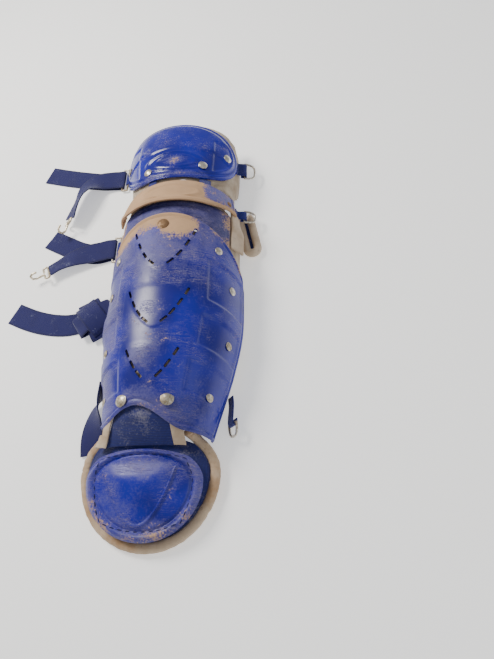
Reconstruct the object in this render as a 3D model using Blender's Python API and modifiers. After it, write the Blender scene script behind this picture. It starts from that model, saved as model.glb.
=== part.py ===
"""A catcher's leg guard, lying on its back with its shells up.

The toe points along -Y and the thigh along +Y. The shells and pads follow one arch,
which runs from the ankle over the shin and knee to the thigh. A place on it is given by
y, by a turn round the leg (0 at the crest, 1 where the side is upright, 2 at the floor)
and by a lift outward from the shells' outer face.
"""

import math
from collections import namedtuple

import bmesh
import bpy
from mathutils import Matrix, Vector
from mathutils.bvhtree import BVHTree

# Driving sizes of the leg, in metres. The lengths follow each other along +Y.
TOE_REACH = 0.130
SHIN_LENGTH = 0.298
KNEE_LENGTH = 0.075
THIGH_LENGTH = 0.125
CALF_WIDTH = 0.196
SHIN_HEIGHT = 0.109
EDGE_HEIGHT = 0.018

# Walls and the small gaps between pieces.
SHELL_WALL = 0.0028
BAND_WALL = 0.0022
PAD_WALL = 0.010
WEB_WALL = 0.0014
STRAP_WALL = 0.0018
GAP = 0.0003
LAYER_GAP = 0.0009

# Toe flap.
TOE_PAD_WIDTH = 0.160
TOE_PAD_LENGTH = 0.123
TOE_PAD_WALL = 0.014
TOE_PLATE_WIDTH = 0.150
TOE_PLATE_LENGTH = 0.105
TOE_TIP_HEIGHT = 0.0195
TOE_SLOPE = 0.235
TOE_RIM_RADIUS = 0.0058
TOE_OFF_CENTRE = 0.016
TONGUE_WALL = 0.005
BINDING_WIDTH = 0.0155

# Knee.
KNEE_CUP_LENGTH = 0.045
CUP_FLARE = 0.009
FLAP_LENGTH_LEFT = 0.043
FLAP_LENGTH_RIGHT = 0.068
FLAP_WALL = 0.0048
FLAP_FLARE = 0.006
WING_LENGTH = 0.086
WING_WIDTH = 0.030
WING_THICKNESS = 0.016
WING_ANGLE = math.radians(12)

# Pads under the shells.
PAD_TUCK = 0.012
PAD_SEAM_GAP = 0.0022
THIGH_PAD_MARGIN = 0.013
SHIN_PAD_START = 0.118

# Relief of the shells.
RIDGE_RISE = 0.0022
PANEL_FRAME_RISE = 0.0014
TOE_BULGE = 0.0045
CAP_OVAL_RISE = 0.0015

# Slots in the shin shell.
SLOT_LENGTH = 0.0115
SLOT_WIDTH = 0.0032

# Rivets: radius of each kind, and the height of a head as a share of its radius.
SIDE_RIVET_RADIUS = 0.0058
CAP_RIVET_RADIUS = 0.0068
BOTTOM_RIVET_RADIUS = 0.0082
TOP_RIVET_RADIUS = 0.0080
CUP_RIVET_RADIUS = 0.0042
RIVET_RISE = 0.40

# Webbing, straps and wire hardware.
STRAP_WIDTH = 0.037
TAB_WIDTH = 0.025
NARROW_TAB_WIDTH = 0.015
WIRE_RADIUS = 0.0017
RING_DEPTH = 0.017
SLIDER_DEPTH = 0.0095
HOOK_WIDTH = 0.028
THIGH_STRAP_REACH = 0.150
KNEE_STRAP_REACH = 0.120
CALF_STRAP_REACH = 0.165
ANKLE_STRAP_REACH = 0.090
KNOT_LENGTH = 0.068
KNOT_WIDTH = 0.050
KNOT_HEIGHT = 0.024
KNOT_ANGLE = math.radians(8)

# Colours as red, green, blue.
SHELL_BLUE = (0.035, 0.060, 0.480)
MESH_BLUE = (0.015, 0.040, 0.240)
STRAP_NAVY = (0.008, 0.012, 0.170)
WEB_BLUE = (0.020, 0.050, 0.320)
PAD_BEIGE = (0.560, 0.470, 0.360)
NICKEL = (0.620, 0.600, 0.560)

# The leg's arch. Half width is a share of half the calf width, height a share of the shin
# height, and centre a share of the calf width that the guard bends sideways.
LegSection = namedtuple("LegSection", "zone share half_width height centre")
LEG_SECTIONS = [
    LegSection("shin", -0.05, 0.72, 0.69, -0.032),
    LegSection("shin", 0.00, 0.75, 0.735, -0.030),
    LegSection("shin", 0.13, 0.82, 0.850, -0.008),
    LegSection("shin", 0.27, 0.91, 0.940, 0.008),
    LegSection("shin", 0.47, 1.00, 0.990, 0.020),
    LegSection("shin", 0.67, 1.00, 1.000, 0.025),
    LegSection("shin", 0.90, 0.98, 0.990, 0.025),
    LegSection("knee", 0.28, 0.98, 0.980, 0.025),
    LegSection("knee", 0.80, 0.95, 0.965, 0.020),
    LegSection("thigh", 0.07, 0.94, 0.900, 0.015),
    LegSection("thigh", 0.45, 0.98, 0.905, 0.010),
    LegSection("thigh", 0.77, 0.97, 0.870, 0.010),
    LegSection("thigh", 1.00, 0.94, 0.790, 0.005),
    LegSection("thigh", 1.25, 0.88, 0.640, 0.005),
]
ZONE_STARTS = {
    "shin": TOE_REACH,
    "knee": TOE_REACH + SHIN_LENGTH,
    "thigh": TOE_REACH + SHIN_LENGTH + KNEE_LENGTH,
}
ZONE_LENGTHS = {"shin": SHIN_LENGTH, "knee": KNEE_LENGTH, "thigh": THIGH_LENGTH}

# How far round the leg each shell reaches.
SHIN_TURN = 1.0
BAND_TURN = 0.71
CUP_TURN = 0.78
CAP_TURN = 0.82

# Layers under the shells, as lifts from the shells' outer face.
PAD_LIFT = -(SHELL_WALL + LAYER_GAP)
BAND_LIFT = -(SHELL_WALL + LAYER_GAP)
LOW_PAD_LIFT = BAND_LIFT - BAND_WALL - LAYER_GAP
WEB_LIFT = LOW_PAD_LIFT + LAYER_GAP + WEB_WALL / 2
CAP_LIFT = WEB_LIFT + WEB_WALL / 2 + LAYER_GAP + SHELL_WALL

# Each arc of slots: where its ends and its bottom lie along the shin, how far round the
# leg its ends reach, and the slots on each side as shares of the way from bottom to end.
SlotArc = namedtuple("SlotArc", "end bottom turn shares")
SLOT_ARCS = [
    SlotArc(0.890, 0.700, 0.275, (0.24, 0.50, 0.76, 1.0)),
    SlotArc(0.570, 0.415, 0.245, (0.26, 0.51, 0.76, 1.0)),
    SlotArc(0.295, 0.180, 0.215, (0.36, 0.69, 1.0)),
]
ARC_CENTRE_TURN = 0.015

# Recessed panels on each side of the shin: their low and high ends along the shin.
SidePanel = namedtuple("SidePanel", "low high")
SIDE_PANELS = [SidePanel(0.15, 0.28), SidePanel(0.34, 0.49), SidePanel(0.56, 0.77)]
PANEL_TURNS = (0.39, 0.80)
RIDGE_TURN = 0.29

# Rivets on the arch: zone, place along it, turn and radius.
RivetPlace = namedtuple("RivetPlace", "name zone share turn radius")
RIVETS = [
    RivetPlace("shin_rivet_left_1", "shin", 0.135, -0.62, SIDE_RIVET_RADIUS),
    RivetPlace("shin_rivet_left_2", "shin", 0.340, -0.56, SIDE_RIVET_RADIUS),
    RivetPlace("shin_rivet_left_3", "shin", 0.620, -0.56, SIDE_RIVET_RADIUS),
    RivetPlace("shin_rivet_left_4", "shin", 0.800, -0.50, SIDE_RIVET_RADIUS),
    RivetPlace("shin_rivet_right_1", "shin", 0.140, 0.66, SIDE_RIVET_RADIUS),
    RivetPlace("shin_rivet_right_2", "shin", 0.375, 0.74, SIDE_RIVET_RADIUS),
    RivetPlace("shin_rivet_right_3", "shin", 0.645, 0.72, SIDE_RIVET_RADIUS),
    RivetPlace("shin_rivet_right_4", "shin", 0.820, 0.53, SIDE_RIVET_RADIUS),
    RivetPlace("shin_rivet_bottom_left", "shin", 0.110, -0.25, BOTTOM_RIVET_RADIUS),
    RivetPlace("shin_rivet_bottom_right", "shin", 0.108, 0.215, BOTTOM_RIVET_RADIUS),
    RivetPlace("shin_rivet_top", "shin", 0.930, 0.0, TOP_RIVET_RADIUS),
    RivetPlace("cup_rivet_left", "knee", 0.46, -0.66, CUP_RIVET_RADIUS),
    RivetPlace("cup_rivet_right", "knee", 0.56, 0.66, CUP_RIVET_RADIUS),
    RivetPlace("thigh_rivet_outer_left", "thigh", 0.46, -0.64, CAP_RIVET_RADIUS),
    RivetPlace("thigh_rivet_inner_left", "thigh", 0.17, -0.26, CAP_RIVET_RADIUS),
    RivetPlace("thigh_rivet_inner_right", "thigh", 0.21, 0.33, CAP_RIVET_RADIUS),
    RivetPlace("thigh_rivet_outer_right", "thigh", 0.48, 0.62, CAP_RIVET_RADIUS),
]


# Straps, as shares of their reach: out from the guard, along the leg, and rise above where
# the strap would lie. roll is in degrees and width is a share of the strap's width.
StrapRow = namedtuple("StrapRow", "run out along rise roll width")
THIGH_STRAP_ROWS = [
    StrapRow("tail", 0.24, 0.03, 0.0, 0, 1.0),
    StrapRow("tail", 0.52, 0.10, 0.0, 0, 1.0),
    StrapRow("tail", 0.76, 0.17, 0.0, 0, 1.0),
    StrapRow("tail", 1.00, 0.25, 0.0, 0, 1.0),
    StrapRow("branch", 0.12, 0.00, 0.004, 0, 1.0),
    StrapRow("branch", 0.27, -0.03, 0.030, 4, 1.0),
    StrapRow("branch", 0.39, -0.13, 0.070, 30, 1.0),
    StrapRow("branch", 0.45, -0.28, 0.090, 54, 1.0),
    StrapRow("branch", 0.49, -0.42, 0.090, 56, 0.95),
    StrapRow("branch", 0.53, -0.58, 0.070, 44, 0.75),
]
KNEE_STRAP_ROWS = [
    StrapRow("tail", 0.24, -0.03, 0.0, 0, 1.0),
    StrapRow("tail", 0.50, 0.04, 0.0, 0, 1.0),
    StrapRow("tail", 0.75, 0.17, 0.0, 0, 1.0),
    StrapRow("tail", 1.00, 0.31, 0.0, 0, 1.0),
    StrapRow("branch", 0.16, -0.02, 0.004, 0, 1.0),
    StrapRow("branch", 0.36, -0.06, 0.015, 0, 1.0),
    StrapRow("branch", 0.54, -0.12, 0.035, 6, 0.90),
    StrapRow("branch", 0.72, -0.21, 0.040, 14, 0.72),
    StrapRow("branch", 0.86, -0.29, 0.030, 14, 0.68),
]
CALF_STRAP_ROWS = [
    StrapRow("tail", 0.00, 0.00, 0.0, 0, 1.0),
    StrapRow("tail", 0.05, 0.00, 0.0, 0, 1.0),
    StrapRow("tail", 0.20, -0.05, 0.0, 0, 1.0),
    StrapRow("tail", 0.40, -0.09, 0.0, 0, 1.0),
    StrapRow("tail", 0.60, -0.07, 0.0, 0, 1.0),
    StrapRow("tail", 0.80, -0.01, 0.0, 0, 1.0),
    StrapRow("tail", 1.00, 0.08, 0.0, 0, 1.0),
]
ANKLE_STRAP_ROWS = [
    StrapRow("tail", 0.00, 0.00, 0.236, 90, 1.0),
    StrapRow("tail", 0.06, -0.20, 0.236, 72, 1.0),
    StrapRow("tail", 0.14, -0.45, 0.160, 36, 1.0),
    StrapRow("tail", 0.17, -0.75, 0.080, 8, 1.0),
    StrapRow("tail", 0.14, -1.00, 0.045, 0, 1.0),
]

# Links over the knee joint: the turn of the middle and the half width as a turn.
ThighLink = namedtuple("ThighLink", "name turn half_turn")
THIGH_LINKS = [
    ThighLink("thigh_link_left", -0.215, 0.050),
    ThighLink("thigh_link_right", 0.385, 0.068),
]


def along(zone, share):
    """Distance from the toe to a share of a zone."""
    return ZONE_STARTS[zone] + ZONE_LENGTHS[zone] * share


def ease(low, high, value):
    """Go smoothly from 0 at low to 1 at high."""
    share = max(0.0, min(1.0, (value - low) / (high - low)))
    return share * share * (3.0 - 2.0 * share)


def mix(first, second, share):
    return first + (second - first) * share


def smooth_curve(places, values, place):
    """Read a smooth curve through values at rising places."""
    place = max(places[0], min(places[-1], place))
    index = 0
    while index < len(places) - 2 and place > places[index + 1]:
        index += 1

    def slope(i):
        low, high = max(i - 1, 0), min(i + 1, len(places) - 1)
        return (values[high] - values[low]) / (places[high] - places[low])

    span = places[index + 1] - places[index]
    t = (place - places[index]) / span
    start = (2 * t**3 - 3 * t**2 + 1) * values[index] + (t**3 - 2 * t**2 + t) * span * slope(index)
    end = (3 * t**2 - 2 * t**3) * values[index + 1] + (t**3 - t**2) * span * slope(index + 1)
    return start + end


LEG_PLACES = [along(row.zone, row.share) for row in LEG_SECTIONS]
LEG_HALF_WIDTHS = [row.half_width * CALF_WIDTH / 2 for row in LEG_SECTIONS]
LEG_CRESTS = [row.height * SHIN_HEIGHT for row in LEG_SECTIONS]
LEG_CENTRES = [row.centre * CALF_WIDTH for row in LEG_SECTIONS]


def leg_frame(y, turn):
    """Point on the shells' outer face and its outward normal."""
    half_width = smooth_curve(LEG_PLACES, LEG_HALF_WIDTHS, y)
    rise = smooth_curve(LEG_PLACES, LEG_CRESTS, y) - EDGE_HEIGHT
    centre = smooth_curve(LEG_PLACES, LEG_CENTRES, y)
    angle = math.pi / 2 * max(-1.0, min(1.0, turn))
    below = max(0.0, abs(turn) - 1.0)
    point = Vector((
        centre + half_width * math.sin(angle),
        y,
        EDGE_HEIGHT + rise * math.cos(angle) - EDGE_HEIGHT * below,
    ))
    normal = Vector((math.sin(angle) / half_width, 0.0, math.cos(angle) / rise)).normalized()
    return point, normal


def leg_point(y, turn, lift=0.0):
    point, normal = leg_frame(y, turn)
    return point + normal * lift


def leg_height(x, y, lift):
    """Height of the arch above a place on the floor, at a lift."""
    half_width = smooth_curve(LEG_PLACES, LEG_HALF_WIDTHS, y) + lift
    rise = smooth_curve(LEG_PLACES, LEG_CRESTS, y) - EDGE_HEIGHT + lift
    centre = smooth_curve(LEG_PLACES, LEG_CENTRES, y)
    across = min(1.0, abs(x - centre) / half_width)
    return EDGE_HEIGHT + rise * math.sqrt(1.0 - across * across)


def round_square(u, v, roundness):
    """Map the unit square to a shape between a square (0) and a disc (1)."""
    x, y = 2 * u - 1, 2 * v - 1
    disc_x, disc_y = x * math.sqrt(1 - y * y / 2), y * math.sqrt(1 - x * x / 2)
    return mix(x, disc_x, roundness), mix(y, disc_y, roundness)


def make_material(name, colour, roughness, metallic=0.0):
    material = bpy.data.materials.new(name)
    material.use_nodes = True
    shader = material.node_tree.nodes["Principled BSDF"]
    shader.inputs["Base Color"].default_value = (*colour, 1.0)
    shader.inputs["Roughness"].default_value = roughness
    shader.inputs["Metallic"].default_value = metallic
    return material


def new_object(name, data, material):
    """Add an object for one piece, carried by the guard's empty."""
    thing = bpy.data.objects.new(name, data)
    guard_collection.objects.link(thing)
    thing.parent = guard_origin
    thing.data.materials.append(material)
    return thing


def mesh_object(name, shape, material, smooth_angle=40):
    mesh = bpy.data.meshes.new(name)
    shape.to_mesh(mesh)
    shape.free()
    mesh.shade_smooth()
    mesh.set_sharp_from_angle(angle=math.radians(smooth_angle))
    return new_object(name, mesh, material)


def sheet(name, columns, rows, place, wall, material, lean=-1.0):
    """A bent grid with a wall. place(u, v) gives its face, and lean -1 grows the wall inward."""
    shape = bmesh.new()
    bmesh.ops.create_grid(shape, x_segments=columns, y_segments=rows, size=1.0)
    for vertex in shape.verts:
        vertex.co = place((vertex.co.x + 1) / 2, (vertex.co.y + 1) / 2)
    thing = mesh_object(name, shape, material)
    thicken = thing.modifiers.new("wall", "SOLIDIFY")
    thicken.thickness = wall
    thicken.offset = lean
    thicken.use_even_offset = True
    return thing


def padding(name, columns, rows, upper, lower, material):
    """A closed pad between an upper and a lower face over one grid."""
    shape = bmesh.new()
    bmesh.ops.create_grid(shape, x_segments=columns, y_segments=rows, size=1.0)
    flat = {vertex: ((vertex.co.x + 1) / 2, (vertex.co.y + 1) / 2) for vertex in shape.verts}
    copy = bmesh.ops.extrude_face_region(shape, geom=shape.faces[:], use_keep_orig=True)
    for item in copy["geom"]:
        if isinstance(item, bmesh.types.BMVert):
            item.co = lower((item.co.x + 1) / 2, (item.co.y + 1) / 2)
    for vertex, (u, v) in flat.items():
        vertex.co = upper(u, v)
    bmesh.ops.recalc_face_normals(shape, faces=shape.faces[:])
    return mesh_object(name, shape, material)


def wall_turn(u, steps, reach):
    """Turn of a pad's column: even steps over the arch, and one step down each side wall."""
    column = u * (steps + 2) - 1
    if column < 0:
        return -1.0 + column * (reach - 1.0)
    if column > steps:
        return 1.0 + (column - steps) * (reach - 1.0)
    return -1.0 + 2.0 * column / steps


def shin_relief(y, turn):
    """Raised centre of the shin shell and the raised frames round its side panels."""
    share = (y - TOE_REACH) / SHIN_LENGTH
    side = abs(turn - ARC_CENTRE_TURN)
    ridge = RIDGE_RISE * (1.0 - ease(RIDGE_TURN, RIDGE_TURN + 0.07, side))
    inner, outer = PANEL_TURNS
    band = ease(inner - 0.06, inner, side) * (1.0 - ease(outer, outer + 0.08, side))
    covered = 0.0
    for panel in SIDE_PANELS:
        inside = ease(panel.low - 0.03, panel.low, share) * (1.0 - ease(panel.high, panel.high + 0.03, share))
        covered = max(covered, inside)
    return ridge + PANEL_FRAME_RISE * band * (1.0 - covered)


def shin_low_edge(turn):
    """Lower edge of the shin shell: an arch over the instep, and a slant across."""
    instep = 1.0 - ease(0.0, 0.52, abs(turn + 0.09))
    return TOE_REACH + SHIN_LENGTH * (0.012 - 0.030 * turn + 0.072 * instep)


def shin_top_edge(turn):
    return TOE_REACH + SHIN_LENGTH * (1.0 - 0.30 * turn * turn)


def shin_place(u, v):
    turn = mix(-SHIN_TURN, SHIN_TURN, u)
    y = mix(shin_low_edge(turn), shin_top_edge(turn), v)
    return leg_point(y, turn, shin_relief(y, turn))


def arc_place(arc, side, share):
    """Place of a slot: y and turn on one of the arcs."""
    turn = ARC_CENTRE_TURN + side * arc.turn * share**0.85
    return along("shin", mix(arc.bottom, arc.end, share**1.55)), turn


def slot_cutter():
    """One mesh with a box for each slot, set square to the shell."""
    shape = bmesh.new()
    depth = 4 * SHELL_WALL
    for arc in SLOT_ARCS:
        for side in (-1, 1):
            for share in arc.shares:
                point, normal = leg_frame(*arc_place(arc, side, share))
                ahead = leg_point(*arc_place(arc, side, share + 0.03))
                run = ahead - point
                run = (run - run.dot(normal) * normal).normalized()
                turned = Matrix((run, normal.cross(run), normal)).transposed().to_4x4()
                size = Matrix.Diagonal((SLOT_LENGTH, SLOT_WIDTH, depth, 1.0))
                bmesh.ops.create_cube(shape, size=1.0, matrix=Matrix.Translation(point) @ turned @ size)
    mesh = bpy.data.meshes.new("slot_cutter")
    shape.to_mesh(mesh)
    shape.free()
    cutter = bpy.data.objects.new("slot_cutter", mesh)
    cutter_collection.objects.link(cutter)
    cutter.parent = guard_origin
    cutter.hide_render = True
    cutter.display_type = "WIRE"
    return cutter


def shin_shell(material):
    shell = sheet("shin_shell", 18, 22, shin_place, SHELL_WALL, material)
    cut = shell.modifiers.new("slots", "BOOLEAN")
    cut.operation = "DIFFERENCE"
    cut.solver = "EXACT"
    cut.object = slot_cutter()
    return shell


def knee_band(material):
    def place(u, v):
        turn = mix(-BAND_TURN, BAND_TURN, u)
        low = shin_top_edge(turn) - 0.12 * KNEE_LENGTH
        high = along("knee", 0.36)
        return leg_point(mix(low, high, v), turn, BAND_LIFT)

    sheet("knee_band", 18, 4, place, BAND_WALL, material)


def cup_place(u, v):
    """The knee cup: flared at its lower lip, seated on the pad at its upper edge."""
    turn = mix(-CUP_TURN, CUP_TURN, u)
    side = abs(turn) / CUP_TURN
    low = along("knee", 0.24 + 0.05 * turn)
    high = low + KNEE_CUP_LENGTH * (1.0 + 0.15 * turn - 0.22 * side * side)
    lip = mix(CUP_FLARE, 0.35 * CUP_FLARE, side * side)
    lift = mix(lip, CAP_LIFT + GAP, v**1.4)
    return leg_point(mix(low, high, v), turn, lift)


def cap_place(u, v):
    """The thigh cap: an oval on the arch with an oval boss near its lower edge."""
    across, up = round_square(u, v, 0.92)
    turn = CAP_TURN * across
    y = along("thigh", 0.5 + 0.5 * up)
    oval = math.hypot(turn / 0.36, (up + 0.52) / 0.30)
    return leg_point(y, turn, CAP_LIFT + CAP_OVAL_RISE * (1.0 - ease(0.75, 1.0, oval)))


def pad_seam(turn):
    """Seam between the shin pad and the knee pad, under the shin shell's top edge."""
    return shin_top_edge(max(-1.0, min(1.0, turn))) - PAD_TUCK


def leg_pad(name, rows, lower, upper, lift, material, crowd=1.0):
    """A pad bent over the leg with a foot along each side, between two edges given by turn.
    crowd above 1 sets its rows closer at the lower edge."""
    def face(depth):
        def place(u, v):
            turn = wall_turn(u, 16, 2.0)
            return leg_point(mix(lower(turn), upper(turn), v**crowd), turn, depth)
        return place

    padding(name, 18, rows, face(lift), face(PAD_LIFT - PAD_WALL), material)


def thigh_pad_edge(side):
    """Edge of the thigh pad, rounded off toward its feet. side is -1 for the knee's side."""
    low = along("knee", 0.93) + GAP
    high = along("thigh", 1.0) + THIGH_PAD_MARGIN

    def edge(turn):
        return mix(low, high, 0.5) + side * 0.5 * (high - low) * (1.0 - abs(turn / 2.15) ** 3.0) ** 0.5
    return edge


def toe_height(x, y):
    """Height of the face that the toe plate lies on: it rises toward the instep."""
    across = min(1.0, abs(x + TOE_OFF_CENTRE) / (0.58 * TOE_PAD_WIDTH))
    crest = TOE_TIP_HEIGHT + TOE_SLOPE * y
    return TOE_PAD_WALL + (crest - TOE_PAD_WALL) * math.sqrt(1.0 - across * across)


TOE_PAD_TIP = 2 * TOE_RIM_RADIUS - 0.0027


def shield(u, v, width, tip, length):
    """A shield outline: a half oval toward the toe, squarer toward the instep."""
    x, y = round_square(u, v, 1.0 if v < 0.5 else 0.80)
    waist = tip + 0.66 * length
    reach = length * (0.66 if y < 0 else 0.34)
    return Vector((-TOE_OFF_CENTRE + 0.5 * width * x, waist + reach * y, 0.0)), math.hypot(x, y)


def toe_pad_top(u, v):
    point, out = shield(u, v, TOE_PAD_WIDTH, TOE_PAD_TIP, TOE_PAD_LENGTH)
    point.z = toe_height(point.x, point.y) - 0.55 * TOE_PAD_WALL * ease(0.7, 1.05, out)
    return point


def toe_pad_bottom(u, v):
    point = toe_pad_top(u, v)
    point.z = max(0.0, point.z - TOE_PAD_WALL)
    return point


def toe_pad(material):
    padding("toe_pad", 12, 10, toe_pad_top, toe_pad_bottom, material)


def toe_plate(material):
    def place(u, v):
        point, out = shield(u, v, TOE_PLATE_WIDTH, TOE_PAD_TIP - 0.001, TOE_PLATE_LENGTH)
        bulge = TOE_BULGE * (1.0 - ease(0.25, 0.80, out))
        point.z = toe_height(point.x, point.y) + LAYER_GAP + SHELL_WALL + bulge
        return point

    sheet("toe_plate", 14, 11, place, SHELL_WALL, material)


def border_square(share):
    """Walk the unit square's border from the upper left corner over the toe to the upper right."""
    walk = share * 3.0
    if walk < 1.0:
        return 0.0, 1.0 - walk
    if walk < 2.0:
        return walk - 1.0, 0.0
    return 1.0, walk - 2.0


def wire(name, points, radius, material, cyclic=False):
    """A round wire through points, with its ends closed."""
    curve = bpy.data.curves.new(name, "CURVE")
    curve.dimensions = "3D"
    curve.bevel_depth = radius
    curve.bevel_resolution = 1
    curve.use_fill_caps = True
    spline = curve.splines.new("POLY")
    spline.points.add(len(points) - 1)
    for target, point in zip(spline.points, points):
        target.co = (*point, 1.0)
    spline.use_cyclic_u = cyclic
    spline.use_smooth = True
    return new_object(name, curve, material)


def toe_rim(material):
    """The roll round the toe pad, just outside the pad's edge at half its height."""
    points = []
    steps = 30
    for step in range(steps + 1):
        share = mix(0.02, 0.98, step / steps)
        before, after = border_square(share - 0.01), border_square(share + 0.01)
        edge = toe_pad_top(*border_square(share))
        run = toe_pad_top(*after) - toe_pad_top(*before)
        outward = Vector((-run.y, run.x, 0.0)).normalized() * -1.0
        middle = mix(edge.z, toe_pad_bottom(*border_square(share)).z, 0.5)
        spot = edge + outward * (TOE_RIM_RADIUS + LAYER_GAP)
        spot.z = max(TOE_RIM_RADIUS, middle)
        points.append(spot)
    wire("toe_rim", points, TOE_RIM_RADIUS, material)


TONGUE_LOW = TOE_PAD_TIP + TOE_PLATE_LENGTH + 0.002
TONGUE_HIGH = along("shin", SHIN_PAD_START) - GAP


def tongue_height(x, y):
    """Top of the tongue: it leaves the toe pad and climbs under the shin shell."""
    share = (y - TONGUE_LOW) / (TONGUE_HIGH - TONGUE_LOW)
    start = toe_height(x, TONGUE_LOW) + LAYER_GAP + TONGUE_WALL
    end = leg_height(x, TONGUE_HIGH, PAD_LIFT)
    climb = mix(start, end, math.sin(math.pi / 2 * min(1.0, share * 1.05)))
    return min(climb, leg_height(x, y, PAD_LIFT)) if y > TOE_REACH else climb


def tongue_edge(side, y):
    """Side edge of the mesh tongue: slanting on the left, nearly straight on the right."""
    share = min(1.0, (y - TONGUE_LOW) / (TONGUE_HIGH - TONGUE_LOW))
    if side < 0:
        return -TOE_OFF_CENTRE - TOE_PLATE_WIDTH * mix(0.31, 0.17, share)
    return -TOE_OFF_CENTRE + TOE_PLATE_WIDTH * mix(0.265, 0.26, share)


def instep_tongue(material):
    def face(drop):
        def place(u, v):
            y = mix(TONGUE_LOW, TONGUE_HIGH, v)
            x = mix(tongue_edge(-1, y), tongue_edge(1, y), u)
            return Vector((x, y, tongue_height(x, y) - drop))
        return place

    padding("instep_tongue", 8, 7, face(0.0), face(TONGUE_WALL), material)


def tongue_binding(name, side, material):
    high = mix(TONGUE_LOW, TONGUE_HIGH, 0.72)

    def face(drop):
        def place(u, v):
            y = mix(TONGUE_LOW, high, v)
            inner = tongue_edge(side, y) + side * GAP * 2
            outer = inner + side * BINDING_WIDTH
            x = mix(min(inner, outer), max(inner, outer), u)
            return Vector((x, y, tongue_height(x, y) - drop))
        return place

    padding(name, 2, 5, face(0.0), face(TONGUE_WALL), material)


def knee_flap(name, side, length, flare, material):
    """A padded strip beyond the end of the knee band."""
    low = along("knee", -0.40)

    def place(u, v):
        turn = mix(BAND_TURN + 0.015, BAND_TURN + 0.20, u if side > 0 else 1.0 - u)
        bend = flare * ease(BAND_TURN, BAND_TURN + 0.20, turn) * (1.0 - ease(0.45, 0.85, v))
        lift = LOW_PAD_LIFT + FLAP_WALL + LAYER_GAP + bend
        return leg_point(low + length * v, side * turn, lift)

    sheet(name, 3, 6, place, FLAP_WALL, material)


def soft_block(name, size, spot, angle, material):
    """A soft rounded block from a cube cage."""
    shape = bmesh.new()
    bmesh.ops.create_cube(shape, size=1.0, matrix=Matrix.Diagonal((*size, 1.0)))
    thing = mesh_object(name, shape, material, 180)
    thing.location = spot
    thing.rotation_euler.z = angle
    rounding = thing.modifiers.new("soft", "SUBSURF")
    rounding.levels = 2
    rounding.render_levels = 2
    return thing


def rivet_mesh(name, radius, material):
    """A domed rivet head, turned from a profile."""
    profile = [(0.0, 1.0), (0.62, 0.80), (1.0, 0.28), (0.96, 0.0), (0.0, 0.0)]
    points = [(radius * out, radius * RIVET_RISE * rise) for out, rise in profile]
    shape = bmesh.new()
    line = [shape.verts.new((x, 0.0, z)) for x, z in points]
    for first, second in zip(line, line[1:]):
        shape.edges.new((first, second))
    bmesh.ops.spin(
        shape, geom=shape.verts[:] + shape.edges[:], cent=(0, 0, 0), axis=(0, 0, 1),
        angle=math.tau, steps=8, use_merge=True,
    )
    bmesh.ops.remove_doubles(shape, verts=shape.verts[:], dist=0.00001)
    bmesh.ops.recalc_face_normals(shape, faces=shape.faces[:])
    mesh = bpy.data.meshes.new(name)
    shape.to_mesh(mesh)
    shape.free()
    mesh.shade_smooth()
    mesh.set_sharp_from_angle(angle=math.radians(40))
    mesh.materials.append(material)
    return mesh


def face_tree(thing):
    """The finished faces of a sheet, for seating pieces on it."""
    return BVHTree.FromObject(thing, bpy.context.evaluated_depsgraph_get())


def set_rivet(name, mesh, radius, tree, point, normal):
    """Seat a rivet head on a shell: its flat back just clears the highest place under its rim."""
    reach = 2 * CUP_FLARE
    square = normal.orthogonal().normalized()
    heights = []
    for step in range(9):
        rim = Matrix.Rotation(math.tau * step / 8, 3, normal) @ square * radius * (step < 8)
        hit = tree.ray_cast(point + rim + normal * reach, -normal)
        heights.append((hit[0] - point).dot(normal) if hit[0] else 0.0)
    head = bpy.data.objects.new(name, mesh)
    guard_collection.objects.link(head)
    head.parent = guard_origin
    head.location = point + normal * (max(heights) + GAP)
    head.rotation_euler = normal.to_track_quat("Z", "Y").to_euler()


def rivets(shells, material):
    """Rivet heads on the shells, one mesh for each size."""
    trees = {zone: face_tree(shell) for zone, shell in shells.items()}
    meshes = {}
    for row in RIVETS:
        if row.radius not in meshes:
            meshes[row.radius] = rivet_mesh("rivet_head", row.radius, material)
        point, normal = leg_frame(along(row.zone, row.share), row.turn)
        set_rivet(row.name, meshes[row.radius], row.radius, trees[row.zone], point, normal)


def smooth_route(points, step):
    """A smooth curve through every given point, with more points where they lie further apart
    than a step. Gives the distances along it and along the given points too."""
    runs = [0.0]
    for first, second in zip(points, points[1:]):
        runs.append(runs[-1] + (second - first).length)
    places = [0.0]
    for start, end in zip(runs, runs[1:]):
        parts = max(1, round((end - start) / step))
        places += [mix(start, end, part / parts) for part in range(1, parts + 1)]
    route = []
    for place in places:
        route.append(Vector([smooth_curve(runs, [p[axis] for p in points], place) for axis in range(3)]))
    return route, places, runs


def ribbon(name, points, across, width, wall, step, material, rolls=None, shares=None):
    """A flat band along a route. across is the direction of its width at the start, rolls in
    degrees turn that direction round the route, and shares narrow the width."""
    route, places, runs = smooth_route(points, step)
    rolls = rolls or [0.0] * len(points)
    shares = shares or [1.0] * len(points)
    last = len(route) - 1
    edges = []
    side = Vector(across)
    for index in range(last + 1):
        run = (route[min(index + 1, last)] - route[max(index - 1, 0)]).normalized()
        side = (side - side.dot(run) * run).normalized()
        roll = math.radians(smooth_curve(runs, rolls, places[index]))
        half = 0.5 * width * smooth_curve(runs, shares, places[index])
        edges.append(Matrix.Rotation(roll, 3, run) @ side * half)

    def place(u, v):
        index = round(v * last)
        return route[index] + edges[index] * (2 * u - 1)

    return sheet(name, 1, last, place, wall, material, lean=0.0)


def bar_wrap(bar, inward, up, radius, back):
    """Route of a band that comes outward over a bar, round it and back below it."""
    return [
        bar + (inward + up) * radius,
        bar + up * radius,
        bar + (up - inward) * radius * 0.707,
        bar - inward * radius,
        bar - (up + inward) * radius * 0.707,
        bar - up * radius,
        bar + (inward - up) * radius,
        bar + inward * back - up * radius,
    ]


def wrap_radius(wall):
    """Radius of a band's middle where it goes round a wire."""
    return WIRE_RADIUS + 2 * GAP + wall / 2


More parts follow.
